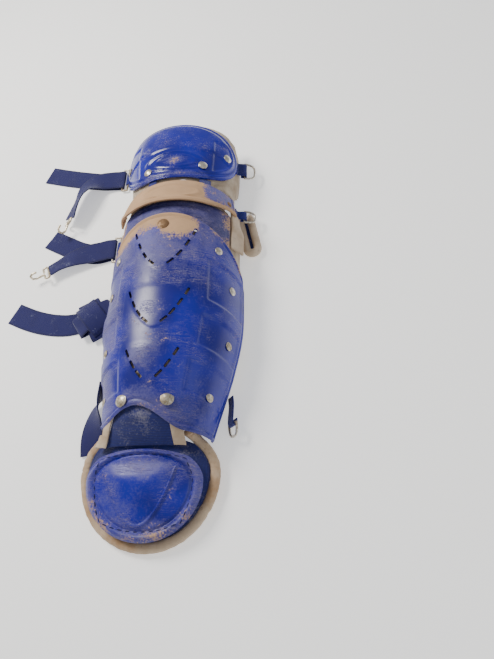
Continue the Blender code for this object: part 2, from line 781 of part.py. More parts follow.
BAR_HEIGHT = wrap_radius(STRAP_WALL) + STRAP_WALL / 2 + 2 * GAP


def tab(name, roots, bar, along_bar, outward, width, material):
    """A webbing loop from its roots on the guard round a wire's bar."""
    up = outward.cross(along_bar).normalized()
    up = up if up.z > 0 else -up
    points = list(roots) + bar_wrap(bar, -outward, up, wrap_radius(WEB_WALL), 0.006)
    ribbon(name, points, along_bar, width, WEB_WALL, 0.006, material)


def d_ring(name, bar, along_bar, outward, length, material):
    """A D-ring with its straight bar at bar and its bow on the outward side."""
    half = length / 2
    points = [bar - along_bar * half, bar + along_bar * half]
    for step in range(1, 8):
        angle = math.pi * step / 8
        bow = outward * RING_DEPTH * math.sin(angle) ** 0.8
        beside = math.copysign(abs(math.cos(angle)) ** 0.6, math.cos(angle))
        points.append(bar + along_bar * half * beside + bow)
    wire(name, points, WIRE_RADIUS, material, cyclic=True)


def slider(name, bar, outward, along_bar, length, material):
    """A rectangular wire loop with cut corners, from the strap's bar to the tab's bar."""
    corner = 0.0015
    points = []
    for out, side in ((0, -1), (0, 1), (1, 1), (1, -1)):
        spot = bar + outward * SLIDER_DEPTH * out + along_bar * side * length / 2
        beside = spot - along_bar * side * corner
        before = spot + outward * corner * (1 - 2 * out)
        points += [before, beside] if (out == 0) == (side < 0) else [beside, before]
    wire(name, points, WIRE_RADIUS, material, cyclic=True)


def hook(name, bar, along_bar, outward, up, material):
    """A wire hook: a loop for the strap and a claw that curls back over its shank."""
    half = HOOK_WIDTH / 2
    neck = 0.0035
    outline = [
        (0.008, neck, 0.0), (0.008, half - 0.002, 0.0), (0.006, half, 0.0), (0.002, half, 0.0),
        (0.0, half - 0.002, 0.0), (0.0, -half + 0.002, 0.0), (0.002, -half, 0.0),
        (0.006, -half, 0.0), (0.008, -half + 0.002, 0.0), (0.008, -neck, 0.0),
        (0.011, -0.001, 0.0), (0.022, 0.0, 0.0), (0.0275, 0.0, 0.003), (0.0275, 0.0, 0.009),
        (0.023, 0.0, 0.0115), (0.0155, 0.0, 0.0105),
    ]
    points = [bar + outward * out + along_bar * side + up * rise for out, side, rise in outline]
    wire(name, points, WIRE_RADIUS, material)


def scaled_rows(rows, reach, run):
    """Rows of one run of a strap in metres."""
    return [
        row._replace(out=row.out * reach, along=row.along * reach, rise=row.rise * reach)
        for row in rows if row.run == run
    ]


def doubled_strap(prefix, bar, rows, reach, strap_material, metal):
    """A strap that comes in from its free tail, goes round a slider's bar and runs out to a hook."""
    up, inward, across = Vector((0, 0, 1)), Vector((1, 0, 0)), Vector((0, 1, 0))
    radius = wrap_radius(STRAP_WALL)
    points, rolls, shares = [], [], []
    for row in reversed(scaled_rows(rows, reach, "tail")):
        points.append(Vector((bar.x - row.out, bar.y + row.along, STRAP_WALL / 2 + GAP)))
        rolls.append(0.0)
        shares.append(row.width)
    wrap = bar_wrap(bar, -inward, -up, radius, 0.009)
    points += wrap
    rolls += [0.0] * len(wrap)
    shares += [1.0] * len(wrap)
    for row in scaled_rows(rows, reach, "branch"):
        points.append(Vector((bar.x - row.out, bar.y + row.along, bar.z + radius + row.rise)))
        rolls.append(row.roll)
        shares.append(row.width)
    ribbon(prefix + "_strap", points, across, STRAP_WIDTH, STRAP_WALL, 0.009, strap_material, rolls, shares)
    slider(prefix + "_slider", bar, inward, across, STRAP_WIDTH + 0.010, metal)

    run = (points[-1] - points[-2]).normalized()
    level = run.cross(up).normalized()
    side = Matrix.Rotation(math.radians(rolls[-1]), 3, run) @ level
    hook(prefix + "_hook", points[-1] + run * (WIRE_RADIUS + GAP), side, run, side.cross(run), metal)


def side_wall(y, side, lift):
    """Point on the side of the leg at the height of the floor webbing."""
    point = leg_point(y, side, lift)
    return Vector((point.x, y, 0.0))


def thigh_link(row, material):
    """A webbing link over the knee joint, under the edges of the cup and the cap."""
    low, high = along("knee", 0.82), along("thigh", 0.045)

    def place(u, v):
        turn = row.turn + row.half_turn * (2 * u - 1)
        return leg_point(mix(low, high, v), turn, WEB_LIFT + WEB_WALL / 2)

    sheet(row.name, 2, 3, place, WEB_WALL, material)


def thigh_webbing(web, strap_material, metal):
    """The tabs, strap and ring of the thigh."""
    across = Vector((0, 1, 0))
    y = along("thigh", 0.80)
    foot = side_wall(y, -1, LOW_PAD_LIFT).x
    bar = Vector((foot - 0.034, y, BAR_HEIGHT))
    roots = [leg_point(y, -turn, WEB_LIFT + GAP) for turn in (0.88, 0.96)]
    tab_bar = bar + Vector((SLIDER_DEPTH, 0, 0))
    tab("thigh_tab_left", roots, tab_bar, across, Vector((-1, 0, 0)), TAB_WIDTH, web)
    doubled_strap("thigh", bar, THIGH_STRAP_ROWS, THIGH_STRAP_REACH, strap_material, metal)

    y = along("thigh", 0.56)
    roots = [leg_point(y, turn, WEB_LIFT) for turn in (0.84, 0.90)]
    outward = Vector((0.94, 0, -0.34)).normalized()
    bar = leg_point(y, 0.92, WEB_LIFT) + Vector((0.010, 0, -0.004))
    tab("thigh_tab_right", roots, bar, across, outward, TAB_WIDTH, web)
    d_ring("thigh_ring", bar, across, outward, TAB_WIDTH + 0.006, metal)


def knee_webbing(web, strap_material, metal):
    """The tab and strap on the left of the knee, and the tab and ring on its right."""
    across = Vector((0, 1, 0))
    y = along("knee", 0.32)
    wall = side_wall(y, -1, LOW_PAD_LIFT)
    bar = wall + Vector((-0.033, 0, BAR_HEIGHT))
    roots = [wall + Vector((-LAYER_GAP - step, 0, BAR_HEIGHT + 0.006)) for step in (0.0, 0.006)]
    tab_bar = bar + Vector((SLIDER_DEPTH, 0, 0))
    tab("knee_tab_left", roots, tab_bar, across, Vector((-1, 0, 0)), TAB_WIDTH, web)
    doubled_strap("knee", bar, KNEE_STRAP_ROWS, KNEE_STRAP_REACH, strap_material, metal)

    y = along("knee", 0.64)
    outward = Vector((0.94, 0, -0.34)).normalized()
    roots = [leg_point(y, turn, WEB_LIFT + 3 * GAP) for turn in (0.84, 0.90)]
    bar = leg_point(y, 0.92, WEB_LIFT) + Vector((0.011, 0, -0.003))
    tab("wing_tab", roots, bar, across, outward, NARROW_TAB_WIDTH, web)
    d_ring("wing_ring", bar, across, outward, NARROW_TAB_WIDTH + 0.006, metal)


def calf_webbing(web, strap_material):
    """The tab, the strap and its knot on the left of the calf."""
    y = along("shin", 0.685)
    wall = side_wall(y, -1, PAD_LIFT)
    start = wall + Vector((-0.018, 0, STRAP_WALL / 2))
    roots = [wall + Vector((mix(-LAYER_GAP, -0.018 + GAP, t), 0, STRAP_WALL / 2)) for t in (0.0, 0.5, 1.0)]
    ribbon("calf_tab_left", roots, (0, 1, 0), STRAP_WIDTH, WEB_WALL, 0.009, web)
    rows = scaled_rows(CALF_STRAP_ROWS, CALF_STRAP_REACH, "tail")
    points = [start + Vector((-row.out, row.along, 0)) for row in rows]
    ribbon("calf_strap", points, (0, 1, 0), STRAP_WIDTH, STRAP_WALL, 0.012, strap_material)
    rise = STRAP_WALL / 2 + GAP + 0.42 * KNOT_HEIGHT
    spot = start + Vector((-0.020, -0.012, rise))
    soft_block("calf_knot", (KNOT_WIDTH, KNOT_LENGTH, KNOT_HEIGHT), spot, KNOT_ANGLE, strap_material)


def ankle_webbing(web, strap_material, metal):
    """The strap on the left of the ankle, and the tab and ring on its right."""
    y = along("shin", 0.26)
    start = leg_point(y, -1, GAP + STRAP_WALL / 2)
    start.z = STRAP_WALL / 2
    rows = scaled_rows(ANKLE_STRAP_ROWS, ANKLE_STRAP_REACH, "tail")
    points = [start + Vector((-row.out, row.along, row.rise)) for row in rows]
    rolls = [row.roll for row in rows]
    ribbon("ankle_strap", points, (1, 0, 0), STRAP_WIDTH, STRAP_WALL, 0.009, strap_material, rolls)

    y = along("shin", 0.19)
    along_bar = Vector((0.60, 0, 0.80))
    outward = Vector((0.10, -1.0, 0)).normalized()
    root = leg_point(y, 1, PAD_LIFT + GAP + WEB_WALL / 2) + along_bar * NARROW_TAB_WIDTH * 0.5
    root.z = NARROW_TAB_WIDTH * 0.85
    bar = root + outward * 0.036
    tab("ankle_tab_right", [root, root + outward * 0.012], bar, along_bar, outward, NARROW_TAB_WIDTH, web)
    d_ring("ankle_ring", bar, along_bar, outward, NARROW_TAB_WIDTH + 0.007, metal)


def settle():
    """Move the guard so that the middle of its underside lies at the origin."""
    graph = bpy.context.evaluated_depsgraph_get()
    places = []
    for thing in guard_collection.objects:
        if thing.data:
            finished = thing.evaluated_get(graph)
            places += [finished.matrix_world @ vertex.co for vertex in finished.to_mesh().vertices]
            finished.to_mesh_clear()
    low = Vector([min(place[axis] for place in places) for axis in range(3)])
    high = Vector([max(place[axis] for place in places) for axis in range(3)])
    guard_origin.location = Vector((-(low.x + high.x) / 2, -(low.y + high.y) / 2, -low.z))


for leftover in list(bpy.data.objects):
    bpy.data.objects.remove(leftover, do_unlink=True)

guard_collection = bpy.data.collections.new("catcher_leg_guard")
cutter_collection = bpy.data.collections.new("cutters")
bpy.context.scene.collection.children.link(guard_collection)
bpy.context.scene.collection.children.link(cutter_collection)
guard_origin = bpy.data.objects.new("guard_origin", None)
guard_collection.objects.link(guard_origin)

shell_plastic = make_material("shell_plastic", SHELL_BLUE, 0.42)
band_plastic = make_material("band_plastic", SHELL_BLUE, 0.50)
mesh_cloth = make_material("mesh_cloth", MESH_BLUE, 0.85)
strap_elastic = make_material("strap_elastic", STRAP_NAVY, 0.80)
webbing = make_material("webbing", WEB_BLUE, 0.75)
pad_cloth = make_material("pad_cloth", PAD_BEIGE, 0.90)
nickel = make_material("nickel", NICKEL, 0.30, metallic=1.0)

knee_band(band_plastic)
shells = {
    "shin": shin_shell(shell_plastic),
    "knee": sheet("knee_cup", 16, 6, cup_place, SHELL_WALL, shell_plastic),
    "thigh": sheet("thigh_shell", 16, 9, cap_place, SHELL_WALL, shell_plastic),
}
toe_plate(shell_plastic)
leg_pad("shin_pad", 8, lambda turn: along("shin", SHIN_PAD_START), pad_seam, PAD_LIFT, pad_cloth)
leg_pad(
    "knee_pad", 5, lambda turn: pad_seam(turn) + PAD_SEAM_GAP, lambda turn: along("knee", 0.93),
    LOW_PAD_LIFT, pad_cloth,
)
leg_pad("thigh_pad", 6, thigh_pad_edge(-1), thigh_pad_edge(1), LOW_PAD_LIFT, pad_cloth, crowd=1.5)
toe_pad(mesh_cloth)
toe_rim(pad_cloth)
instep_tongue(mesh_cloth)
tongue_binding("tongue_binding_left", -1, pad_cloth)
tongue_binding("tongue_binding_right", 1, pad_cloth)
knee_flap("knee_flap_left", -1, FLAP_LENGTH_LEFT, FLAP_FLARE, pad_cloth)
knee_flap("knee_flap_right", 1, FLAP_LENGTH_RIGHT, 0.0, pad_cloth)
rivets(shells, nickel)
for link in THIGH_LINKS:
    thigh_link(link, webbing)
thigh_webbing(webbing, strap_elastic, nickel)
knee_webbing(webbing, strap_elastic, nickel)
calf_webbing(webbing, strap_elastic)
ankle_webbing(webbing, strap_elastic, nickel)
wing_spot = side_wall(along("knee", 0.35), 1, LOW_PAD_LIFT) + Vector((0.0138, 0, 0.43 * WING_THICKNESS))
wing_size = (WING_WIDTH, WING_LENGTH, WING_THICKNESS)
soft_block("knee_wing", wing_size, wing_spot, WING_ANGLE, pad_cloth)
settle()
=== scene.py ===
# %% [markdown]
# # A catcher's leg guard
# The guard lies on its back on a pale floor, with its moulded shells up and its elastic straps
# spread to the left. This notebook dresses a plain CAD model of it: every piece is made again
# with finer relief, cloth and wear, and each one sits where the CAD piece sits. The first cell
# loads that model as a fixed frame.
# %% Load the frame
import math
from collections import namedtuple

import bmesh
import bpy
from mathutils import Matrix, Vector, noise


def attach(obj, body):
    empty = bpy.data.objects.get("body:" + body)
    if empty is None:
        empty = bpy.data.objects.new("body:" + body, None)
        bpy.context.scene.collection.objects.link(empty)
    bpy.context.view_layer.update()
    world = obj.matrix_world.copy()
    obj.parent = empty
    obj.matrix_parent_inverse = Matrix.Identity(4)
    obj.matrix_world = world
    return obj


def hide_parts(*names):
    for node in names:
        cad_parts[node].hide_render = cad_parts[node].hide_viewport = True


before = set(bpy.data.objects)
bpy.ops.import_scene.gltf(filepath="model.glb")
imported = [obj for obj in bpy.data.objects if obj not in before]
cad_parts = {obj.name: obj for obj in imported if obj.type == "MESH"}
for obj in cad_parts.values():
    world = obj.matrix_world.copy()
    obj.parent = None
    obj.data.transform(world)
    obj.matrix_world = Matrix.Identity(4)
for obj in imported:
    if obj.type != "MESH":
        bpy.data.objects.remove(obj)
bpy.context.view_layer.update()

# %% [markdown]
# ## The camera
# The photograph was taken by hand from above the toe end, a little to the right of the guard.
# Its place and its three axes were worked out from points that can be named on both guards of
# the pair. All sizes here are in metres, and PLACE is where the guard's own zero, under the tip
# of the toe, lies in the scene.
# %% Camera
PLACE = Vector((0.07902, -0.32729, 0.0))

photo_camera = bpy.data.objects.new("photo_camera", bpy.data.cameras.new("photo_camera"))
photo_camera.data.lens = 27.04
photo_camera.data.sensor_width = 36.0
photo_camera.data.clip_start = 0.01
right, up = Vector((0.9862, 0.0092, -0.1654)), Vector((0.0663, 0.893, 0.4452))
back = Vector((0.1518, -0.45, 0.88))
photo_camera.matrix_world = Matrix.Translation(Vector((0.2127, -0.028, 0.6259)) + PLACE) @ Matrix(
    (right, up, back)).transposed().to_4x4()
bpy.context.scene.collection.objects.link(photo_camera)
bpy.context.scene.camera = photo_camera
print("camera height", round(photo_camera.matrix_world.translation.z, 3))

# %% [markdown]
# ## Floor and light
# A plain pale floor and soft light let the dust, the scratches and the gloss speak. One large
# lamp hangs on the left and high, because the left flank of the guard is the bright one. A
# smaller one on the right only lifts the shade, and the sky fills the rest. The floor glows a
# little itself, which keeps it pale under the soft shadows.
# %% Floor and light
floor_shape = bmesh.new()
bmesh.ops.create_grid(floor_shape, x_segments=1, y_segments=1, size=3.0)
floor_mesh = bpy.data.meshes.new("pale_floor")
floor_shape.to_mesh(floor_mesh)
floor_shape.free()
pale_floor = bpy.data.objects.new("pale_floor", floor_mesh)
bpy.context.scene.collection.objects.link(pale_floor)
floor_finish = bpy.data.materials.new("floor_finish")
floor_finish.use_nodes = True
floor_finish.node_tree.nodes["Principled BSDF"].inputs["Base Color"].default_value = (0.95, 0.95, 0.94, 1)
floor_finish.node_tree.nodes["Principled BSDF"].inputs["Roughness"].default_value = 0.9
floor_finish.node_tree.nodes["Principled BSDF"].inputs["Emission Color"].default_value = (1.0, 1.0, 1.0, 1)
floor_finish.node_tree.nodes["Principled BSDF"].inputs["Emission Strength"].default_value = 0.55
floor_mesh.materials.append(floor_finish)


def soft_lamp(name, place, aim, size, power, colour):
    """A square lamp at a place, turned to what it lights."""
    lamp = bpy.data.objects.new(name, bpy.data.lights.new(name, "AREA"))
    lamp.data.size = size
    lamp.data.energy = power
    lamp.data.color = colour
    lamp.location = place
    lamp.rotation_euler = (Vector(aim) - Vector(place)).to_track_quat("-Z", "Y").to_euler()
    bpy.context.scene.collection.objects.link(lamp)


soft_lamp("key_lamp", (-0.75, 0.55, 1.25), (0.05, 0.0, 0.0), 0.55, 27.0, (1.0, 0.96, 0.90))
soft_lamp("fill_lamp", (1.1, -0.6, 1.0), (0.05, 0.0, 0.0), 1.0, 3.0, (0.92, 0.96, 1.0))
sky = bpy.data.worlds.new("studio_sky")
sky.use_nodes = True
sky.node_tree.nodes["Background"].inputs["Color"].default_value = (0.95, 0.97, 1.0, 1)
sky.node_tree.nodes["Background"].inputs["Strength"].default_value = 0.42
bpy.context.scene.world = sky
print("lamps", [item.name for item in bpy.data.lights])

# %% [markdown]
# ## The arch that everything follows
# Shin, knee and thigh all bend round one leg. So one small table tells how wide and how high the
# leg is at each place, and a smooth curve runs through it. A place on the guard is then three
# numbers: y along the leg, a turn round it (0 on the crest, 1 on the upright side, 2 on the
# floor), and a lift away from the outer face of the shells. This is how the CAD model is made
# too, which is why the new pieces land on the old ones.
# %% Leg arch
TOE_REACH, SHIN_LENGTH, KNEE_LENGTH, THIGH_LENGTH = 0.130, 0.298, 0.075, 0.125
CALF_WIDTH, SHIN_HEIGHT, EDGE_HEIGHT = 0.196, 0.109, 0.018
ZONES = {
    "shin": (TOE_REACH, SHIN_LENGTH),
    "knee": (TOE_REACH + SHIN_LENGTH, KNEE_LENGTH),
    "thigh": (TOE_REACH + SHIN_LENGTH + KNEE_LENGTH, THIGH_LENGTH),
}
LegSection = namedtuple("LegSection", "zone share half_width height centre")
LEG_SECTIONS = [
    LegSection("shin", -0.05, 0.72, 0.69, -0.032), LegSection("shin", 0.00, 0.75, 0.735, -0.030),
    LegSection("shin", 0.13, 0.82, 0.850, -0.008), LegSection("shin", 0.27, 0.91, 0.940, 0.008),
    LegSection("shin", 0.47, 1.00, 0.990, 0.020), LegSection("shin", 0.67, 1.00, 1.000, 0.025),
    LegSection("shin", 0.90, 0.98, 0.990, 0.025), LegSection("knee", 0.28, 0.98, 0.980, 0.025),
    LegSection("knee", 0.80, 0.95, 0.965, 0.020), LegSection("thigh", 0.07, 0.94, 0.900, 0.015),
    LegSection("thigh", 0.45, 0.98, 0.905, 0.010), LegSection("thigh", 0.77, 0.97, 0.870, 0.010),
    LegSection("thigh", 1.00, 0.94, 0.790, 0.005), LegSection("thigh", 1.25, 0.88, 0.640, 0.005),
]


def along(zone, share):
    """Distance from the toe to a share of a zone."""
    start, length = ZONES[zone]
    return start + length * share


def ease(low, high, value):
    """Go smoothly from 0 at low to 1 at high."""
    share = max(0.0, min(1.0, (value - low) / (high - low)))
    return share * share * (3.0 - 2.0 * share)


def mix(first, second, share):
    return first + (second - first) * share


def bump(middle, width, value):
    """A soft hill of height 1 round a middle."""
    return math.exp(-((value - middle) / width) ** 2)


def smooth_curve(places, values, place):
    """Read a smooth curve through values at rising places."""
    place = max(places[0], min(places[-1], place))
    index = 0
    while index < len(places) - 2 and place > places[index + 1]:
        index += 1

    def slope(i):
        low, high = max(i - 1, 0), min(i + 1, len(places) - 1)
        return (values[high] - values[low]) / (places[high] - places[low])

    span = places[index + 1] - places[index]
    t = (place - places[index]) / span
    start = (2 * t**3 - 3 * t**2 + 1) * values[index] + (t**3 - 2 * t**2 + t) * span * slope(index)
    end = (3 * t**2 - 2 * t**3) * values[index + 1] + (t**3 - t**2) * span * slope(index + 1)
    return start + end


LEG_PLACES = [along(row.zone, row.share) for row in LEG_SECTIONS]
LEG_WIDTHS = [row.half_width * CALF_WIDTH / 2 for row in LEG_SECTIONS]
LEG_CRESTS = [row.height * SHIN_HEIGHT for row in LEG_SECTIONS]
LEG_CENTRES = [row.centre * CALF_WIDTH for row in LEG_SECTIONS]


def leg_section(y):
    """Half width, rise above the side's foot, and centre of the arch at y."""
    return (smooth_curve(LEG_PLACES, LEG_WIDTHS, y), smooth_curve(LEG_PLACES, LEG_CRESTS, y) - EDGE_HEIGHT,
            smooth_curve(LEG_PLACES, LEG_CENTRES, y))


def leg_frame(y, turn):
    """Point on the shells' outer face and its outward normal."""
    half_width, rise, centre = leg_section(y)
    angle = math.pi / 2 * max(-1.0, min(1.0, turn))
    below = max(0.0, abs(turn) - 1.0)
    point = Vector((centre + half_width * math.sin(angle), y,
                    EDGE_HEIGHT + rise * math.cos(angle) - EDGE_HEIGHT * below))
    return point, Vector((math.sin(angle) / half_width, 0.0, math.cos(angle) / rise)).normalized()


def leg_point(y, turn, lift=0.0):
    point, normal = leg_frame(y, turn)
    return point + normal * lift


def leg_place(point):
    """The turn and the lift of a point, the other way round from leg_point."""
    half_width, rise, centre = leg_section(point.y)
    if point.z < EDGE_HEIGHT:
        side = 1.0 if point.x > centre else -1.0
        return side * (2.0 - point.z / EDGE_HEIGHT), abs(point.x - centre) - half_width
    turn = math.atan2((point.x - centre) / half_width, (point.z - EDGE_HEIGHT) / rise) / (math.pi / 2)
    foot, normal = leg_frame(point.y, turn)
    return turn, (point - foot).dot(normal)


def leg_height(x, y, lift):
    """Height of the arch above a place on the floor, at a lift."""
    half_width, rise, centre = leg_section(y)
    across = min(1.0, abs(x - centre) / (half_width + lift))
    return EDGE_HEIGHT + (rise + lift) * math.sqrt(1.0 - across * across)


# %% [markdown]
# ## Walls, layers and makers' helpers
# The layers lie on each other like shingles: pad, band, webbing, cap. Two numbers per vertex,
# tan and haze, tell the materials where the field's dust lies thick and where it is only a
# veil. On the shin's left flank the haze is partly painted light.
# %% Layers and helpers
SHELL_WALL, BAND_WALL, PAD_WALL, WEB_WALL, STRAP_WALL = 0.0028, 0.0022, 0.010, 0.0014, 0.0018
GAP, LAYER_GAP, WIRE_RADIUS = 0.0003, 0.0009, 0.0017
PAD_LIFT = BAND_LIFT = -(SHELL_WALL + LAYER_GAP)
LOW_PAD_LIFT = BAND_LIFT - BAND_WALL - LAYER_GAP
WEB_LIFT = LOW_PAD_LIFT + LAYER_GAP + WEB_WALL / 2
CAP_LIFT = WEB_LIFT + WEB_WALL / 2 + LAYER_GAP + SHELL_WALL


def new_piece(name, shape, finish, nodes=(), smooth_angle=40):
    """Make an object of a bmesh, in its place, riding on the guard and standing for CAD nodes."""
    bmesh.ops.translate(shape, vec=PLACE, verts=shape.verts[:])
    mesh = bpy.data.meshes.new(name)
    shape.to_mesh(mesh)
    shape.free()
    mesh.shade_smooth()
    mesh.set_sharp_from_angle(angle=math.radians(smooth_angle))
    piece = bpy.data.objects.new(name, mesh)
    bpy.context.scene.collection.objects.link(piece)
    for item in (finish if isinstance(finish, (list, tuple)) else [finish]):
        mesh.materials.append(item)
    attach(piece, "root")
    if nodes:
        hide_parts(*nodes)
    return piece


def settle_modifiers(piece, smooth_angle=40):
    """Apply what the modifiers do and mark the sharp edges anew."""
    graph = bpy.context.evaluated_depsgraph_get()
    mesh = bpy.data.meshes.new_from_object(piece.evaluated_get(graph), preserve_all_data_layers=True,
                                           depsgraph=graph)
    old = piece.data
    piece.modifiers.clear()
    piece.data = mesh
    bpy.data.meshes.remove(old)
    mesh.name = piece.name
    mesh.shade_smooth()
    mesh.set_sharp_from_angle(angle=math.radians(smooth_angle))
    return piece


def grid_shape(columns, rows, place, span=(1.0, 1.0), dust=None):
    """A bent grid. place(u, v) gives each point, span the real size for its UV map, and
    dust(u, v) how thick the tan dust and the haze lie."""
    shape = bmesh.new()
    uv = shape.loops.layers.uv.new("UVMap")
    tan, haze_and_light = shape.verts.layers.float.new("tan"), shape.verts.layers.float.new("haze_and_light")
    bmesh.ops.create_grid(shape, x_segments=columns, y_segments=rows, size=1.0)
    flat = {vertex: ((vertex.co.x + 1) / 2, (vertex.co.y + 1) / 2) for vertex in shape.verts}
    for face in shape.faces:
        for loop in face.loops:
            u, v = flat[loop.vert]
            loop[uv].uv = (u * span[0], v * span[1])
    for vertex, (u, v) in flat.items():
        vertex.co = place(u, v)
        if dust:
            vertex[tan], vertex[haze_and_light] = dust(u, v)
    return shape


def thick_sheet(name, shape, wall, finish, nodes, round_edge=0.0007, lean=-1.0):
    """Give a bent grid a wall and soften its rim."""
    piece = new_piece(name, shape, finish, nodes)
    thicken = piece.modifiers.new("wall", "SOLIDIFY")
    thicken.thickness, thicken.offset, thicken.use_even_offset = wall, lean, True
    rim = piece.modifiers.new("rim", "BEVEL")
    rim.width, rim.segments, rim.limit_method, rim.angle_limit = round_edge, 2, "ANGLE", math.radians(60)
    return piece


def round_square(u, v, roundness):
    """Map the unit square to a shape between a square (0) and a disc (1)."""
    x, y = 2 * u - 1, 2 * v - 1
    disc_x, disc_y = x * math.sqrt(1 - y * y / 2), y * math.sqrt(1 - x * x / 2)
    return mix(x, disc_x, roundness), mix(y, disc_y, roundness)


def lip(distance, rise=0.0009):
    """A rolled border: a bead on the edge, a fine groove inside it, and a rounded rim."""
    bead = bump(0.0030, 0.0017, distance) - 0.9 * bump(0.0068, 0.0014, distance)
    return rise * (bead - (1.0 - ease(0.0, 0.0016, distance)))


print("cap lift mm", round(CAP_LIFT * 1000, 2))

# %% [markdown]
# ## Finishes
# Three effects come back in many finishes, so each is a node group that is built once: dust that
# gathers in grains where a vertex says so, fine scratches, and a woven pattern. Each one puts out
# a mask or a height, and the shader itself stays in the material.
# %% Node helpers
def add(tree, kind, settings=None, inputs=None):
    """Add a node, set its options, and fill or link its inputs."""
    item = tree.nodes.new(kind)
    for key, value in (settings or {}).items():
        setattr(item, key, value)
    for key, value in (inputs or {}).items():
        socket = item.inputs[key]
        if isinstance(value, bpy.types.NodeSocket):
            tree.links.new(value, socket)
        else:
            socket.default_value = value
    return item


def maths(tree, operation, first, second=0.5, third=None):
    inputs = {0: first, 1: second}
    if third is not None:
        inputs[2] = third
    return add(tree, "ShaderNodeMath", {"operation": operation}, inputs).outputs[0]


def step_mask(tree, value, low, high):
    """0 below low, 1 above high, smooth between."""
    item = add(tree, "ShaderNodeMapRange", {"interpolation_type": "SMOOTHSTEP"},
               {"Value": value, "From Min": low, "From Max": high})
    return item.outputs["Result"]


def blend_colour(tree, mask, first, second):
    """Mix two colours by a mask. Sockets 0, 6, 7 and 2 are the factor, A, B and the mixed colour."""
    item = add(tree, "ShaderNodeMix", {"data_type": "RGBA"})
    sockets = {"Factor": item.inputs[0], "A": item.inputs[6], "B": item.inputs[7]}
    for key, value in (("Factor", mask), ("A", first), ("B", second)):
        if isinstance(value, bpy.types.NodeSocket):
            tree.links.new(value, sockets[key])
        else:
            sockets[key].default_value = value
    return item.outputs[2]


def effect_group(name, inputs, outputs):
    """An empty node group with named sockets."""
    group = bpy.data.node_groups.new(name, "ShaderNodeTree")
    for label, kind, value in inputs:
        socket = group.interface.new_socket(label, in_out="INPUT", socket_type=kind)
        if value is not None:
            socket.default_value = value
    for label, kind in outputs:
        group.interface.new_socket(label, in_out="OUTPUT", socket_type=kind)
    return group, group.nodes.new("NodeGroupInput"), group.nodes.new("NodeGroupOutput")


def rgb(red, green, blue):
    """A colour from the 0 to 255 values of a picture, as the renderer's linear light."""
    return tuple((channel / 255.0) ** 2.2 for channel in (red, green, blue)) + (1.0,)


print("helpers ready")

# %% [markdown]
# ### Scratches
# A scratch is long and thin. Noise that is stretched along one direction and read only where it
# crosses its middle value gives such hairlines. Two crossing directions and a coarse mask that
# leaves bare patches make it look like years of sliding on a field.
# %% Scratch group
scratch_group, given, result = effect_group(
    "scratches", [("Vector", "NodeSocketVector", None), ("Amount", "NodeSocketFloat", 0.5)],
    [("Mask", "NodeSocketFloat")])
hairlines = []
for turn_angle, stretch, detail_scale in ((0.5, (1.0, 9.0, 1.0), 42.0), (-0.8, (1.0, 7.0, 1.0), 36.0),
                                          (1.9, (1.0, 10.0, 1.0), 30.0)):
    turned = add(scratch_group, "ShaderNodeMapping", inputs={
        "Vector": given.outputs["Vector"], "Rotation": (0.2, 0.1, turn_angle), "Scale": stretch})
    streak = add(scratch_group, "ShaderNodeTexNoise", inputs={
        "Vector": turned.outputs["Vector"], "Scale": detail_scale, "Detail": 3.0, "Distortion": 0.8})
    off_middle = maths(scratch_group, "ABSOLUTE",
                       maths(scratch_group, "SUBTRACT", streak.outputs["Fac"], 0.5))
    hairlines.append(maths(scratch_group, "SUBTRACT", 1.0,
                           step_mask(scratch_group, off_middle, 0.002, 0.011)))
patches = add(scratch_group, "ShaderNodeTexNoise", inputs={
    "Vector": given.outputs["Vector"], "Scale": 26.0, "Detail": 3.0})
shown = step_mask(scratch_group, maths(scratch_group, "ADD", patches.outputs["Fac"],
                                       maths(scratch_group, "MULTIPLY", given.outputs["Amount"], 0.30)),
                  0.52, 0.78)
together = maths(scratch_group, "MAXIMUM", maths(scratch_group, "MAXIMUM", hairlines[0], hairlines[1]),
                 hairlines[2])
scratch_group.links.new(maths(scratch_group, "MULTIPLY", together, shown), result.inputs["Mask"])
print("scratch nodes", len(scratch_group.nodes))

# %% [markdown]
# ### Dust
# Dust is thick in some places and gone in others, and its border is ragged. The vertex value says
# how much lies there, and grain of two sizes is added before a threshold, so the border breaks
# up into flecks as it does on the real shell.
# %% Dust group
dust_group, given, result = effect_group(
    "field_dust", [("Vector", "NodeSocketVector", None), ("Amount", "NodeSocketFloat", 0.0),
                   ("Softness", "NodeSocketFloat", 0.12)],
    [("Mask", "NodeSocketFloat")])
cloud = add(dust_group, "ShaderNodeTexNoise",
            inputs={"Vector": given.outputs["Vector"], "Scale": 38.0, "Detail": 6.0,
                                                      "Roughness": 0.62})
fleck = add(dust_group, "ShaderNodeTexNoise",
            inputs={"Vector": given.outputs["Vector"], "Scale": 420.0, "Detail": 3.0})
grain_sum = maths(dust_group, "ADD", maths(dust_group, "MULTIPLY", cloud.outputs["Fac"], 0.75),
                  maths(dust_group, "MULTIPLY", fleck.outputs["Fac"], 0.45))
level = maths(dust_group, "ADD", maths(dust_group, "MULTIPLY", given.outputs["Amount"], 1.0),
              maths(dust_group, "MULTIPLY", maths(dust_group, "SUBTRACT", grain_sum, 0.6), 2.4))
threshold = maths(dust_group, "SUBTRACT", level, 0.5)
softened = maths(dust_group, "DIVIDE", threshold, given.outputs["Softness"])
mask = add(dust_group, "ShaderNodeClamp", inputs={"Value": maths(dust_group, "ADD", softened, 0.5)})
dust_group.links.new(mask.outputs[0], result.inputs["Mask"])
print("dust nodes", len(dust_group.nodes))

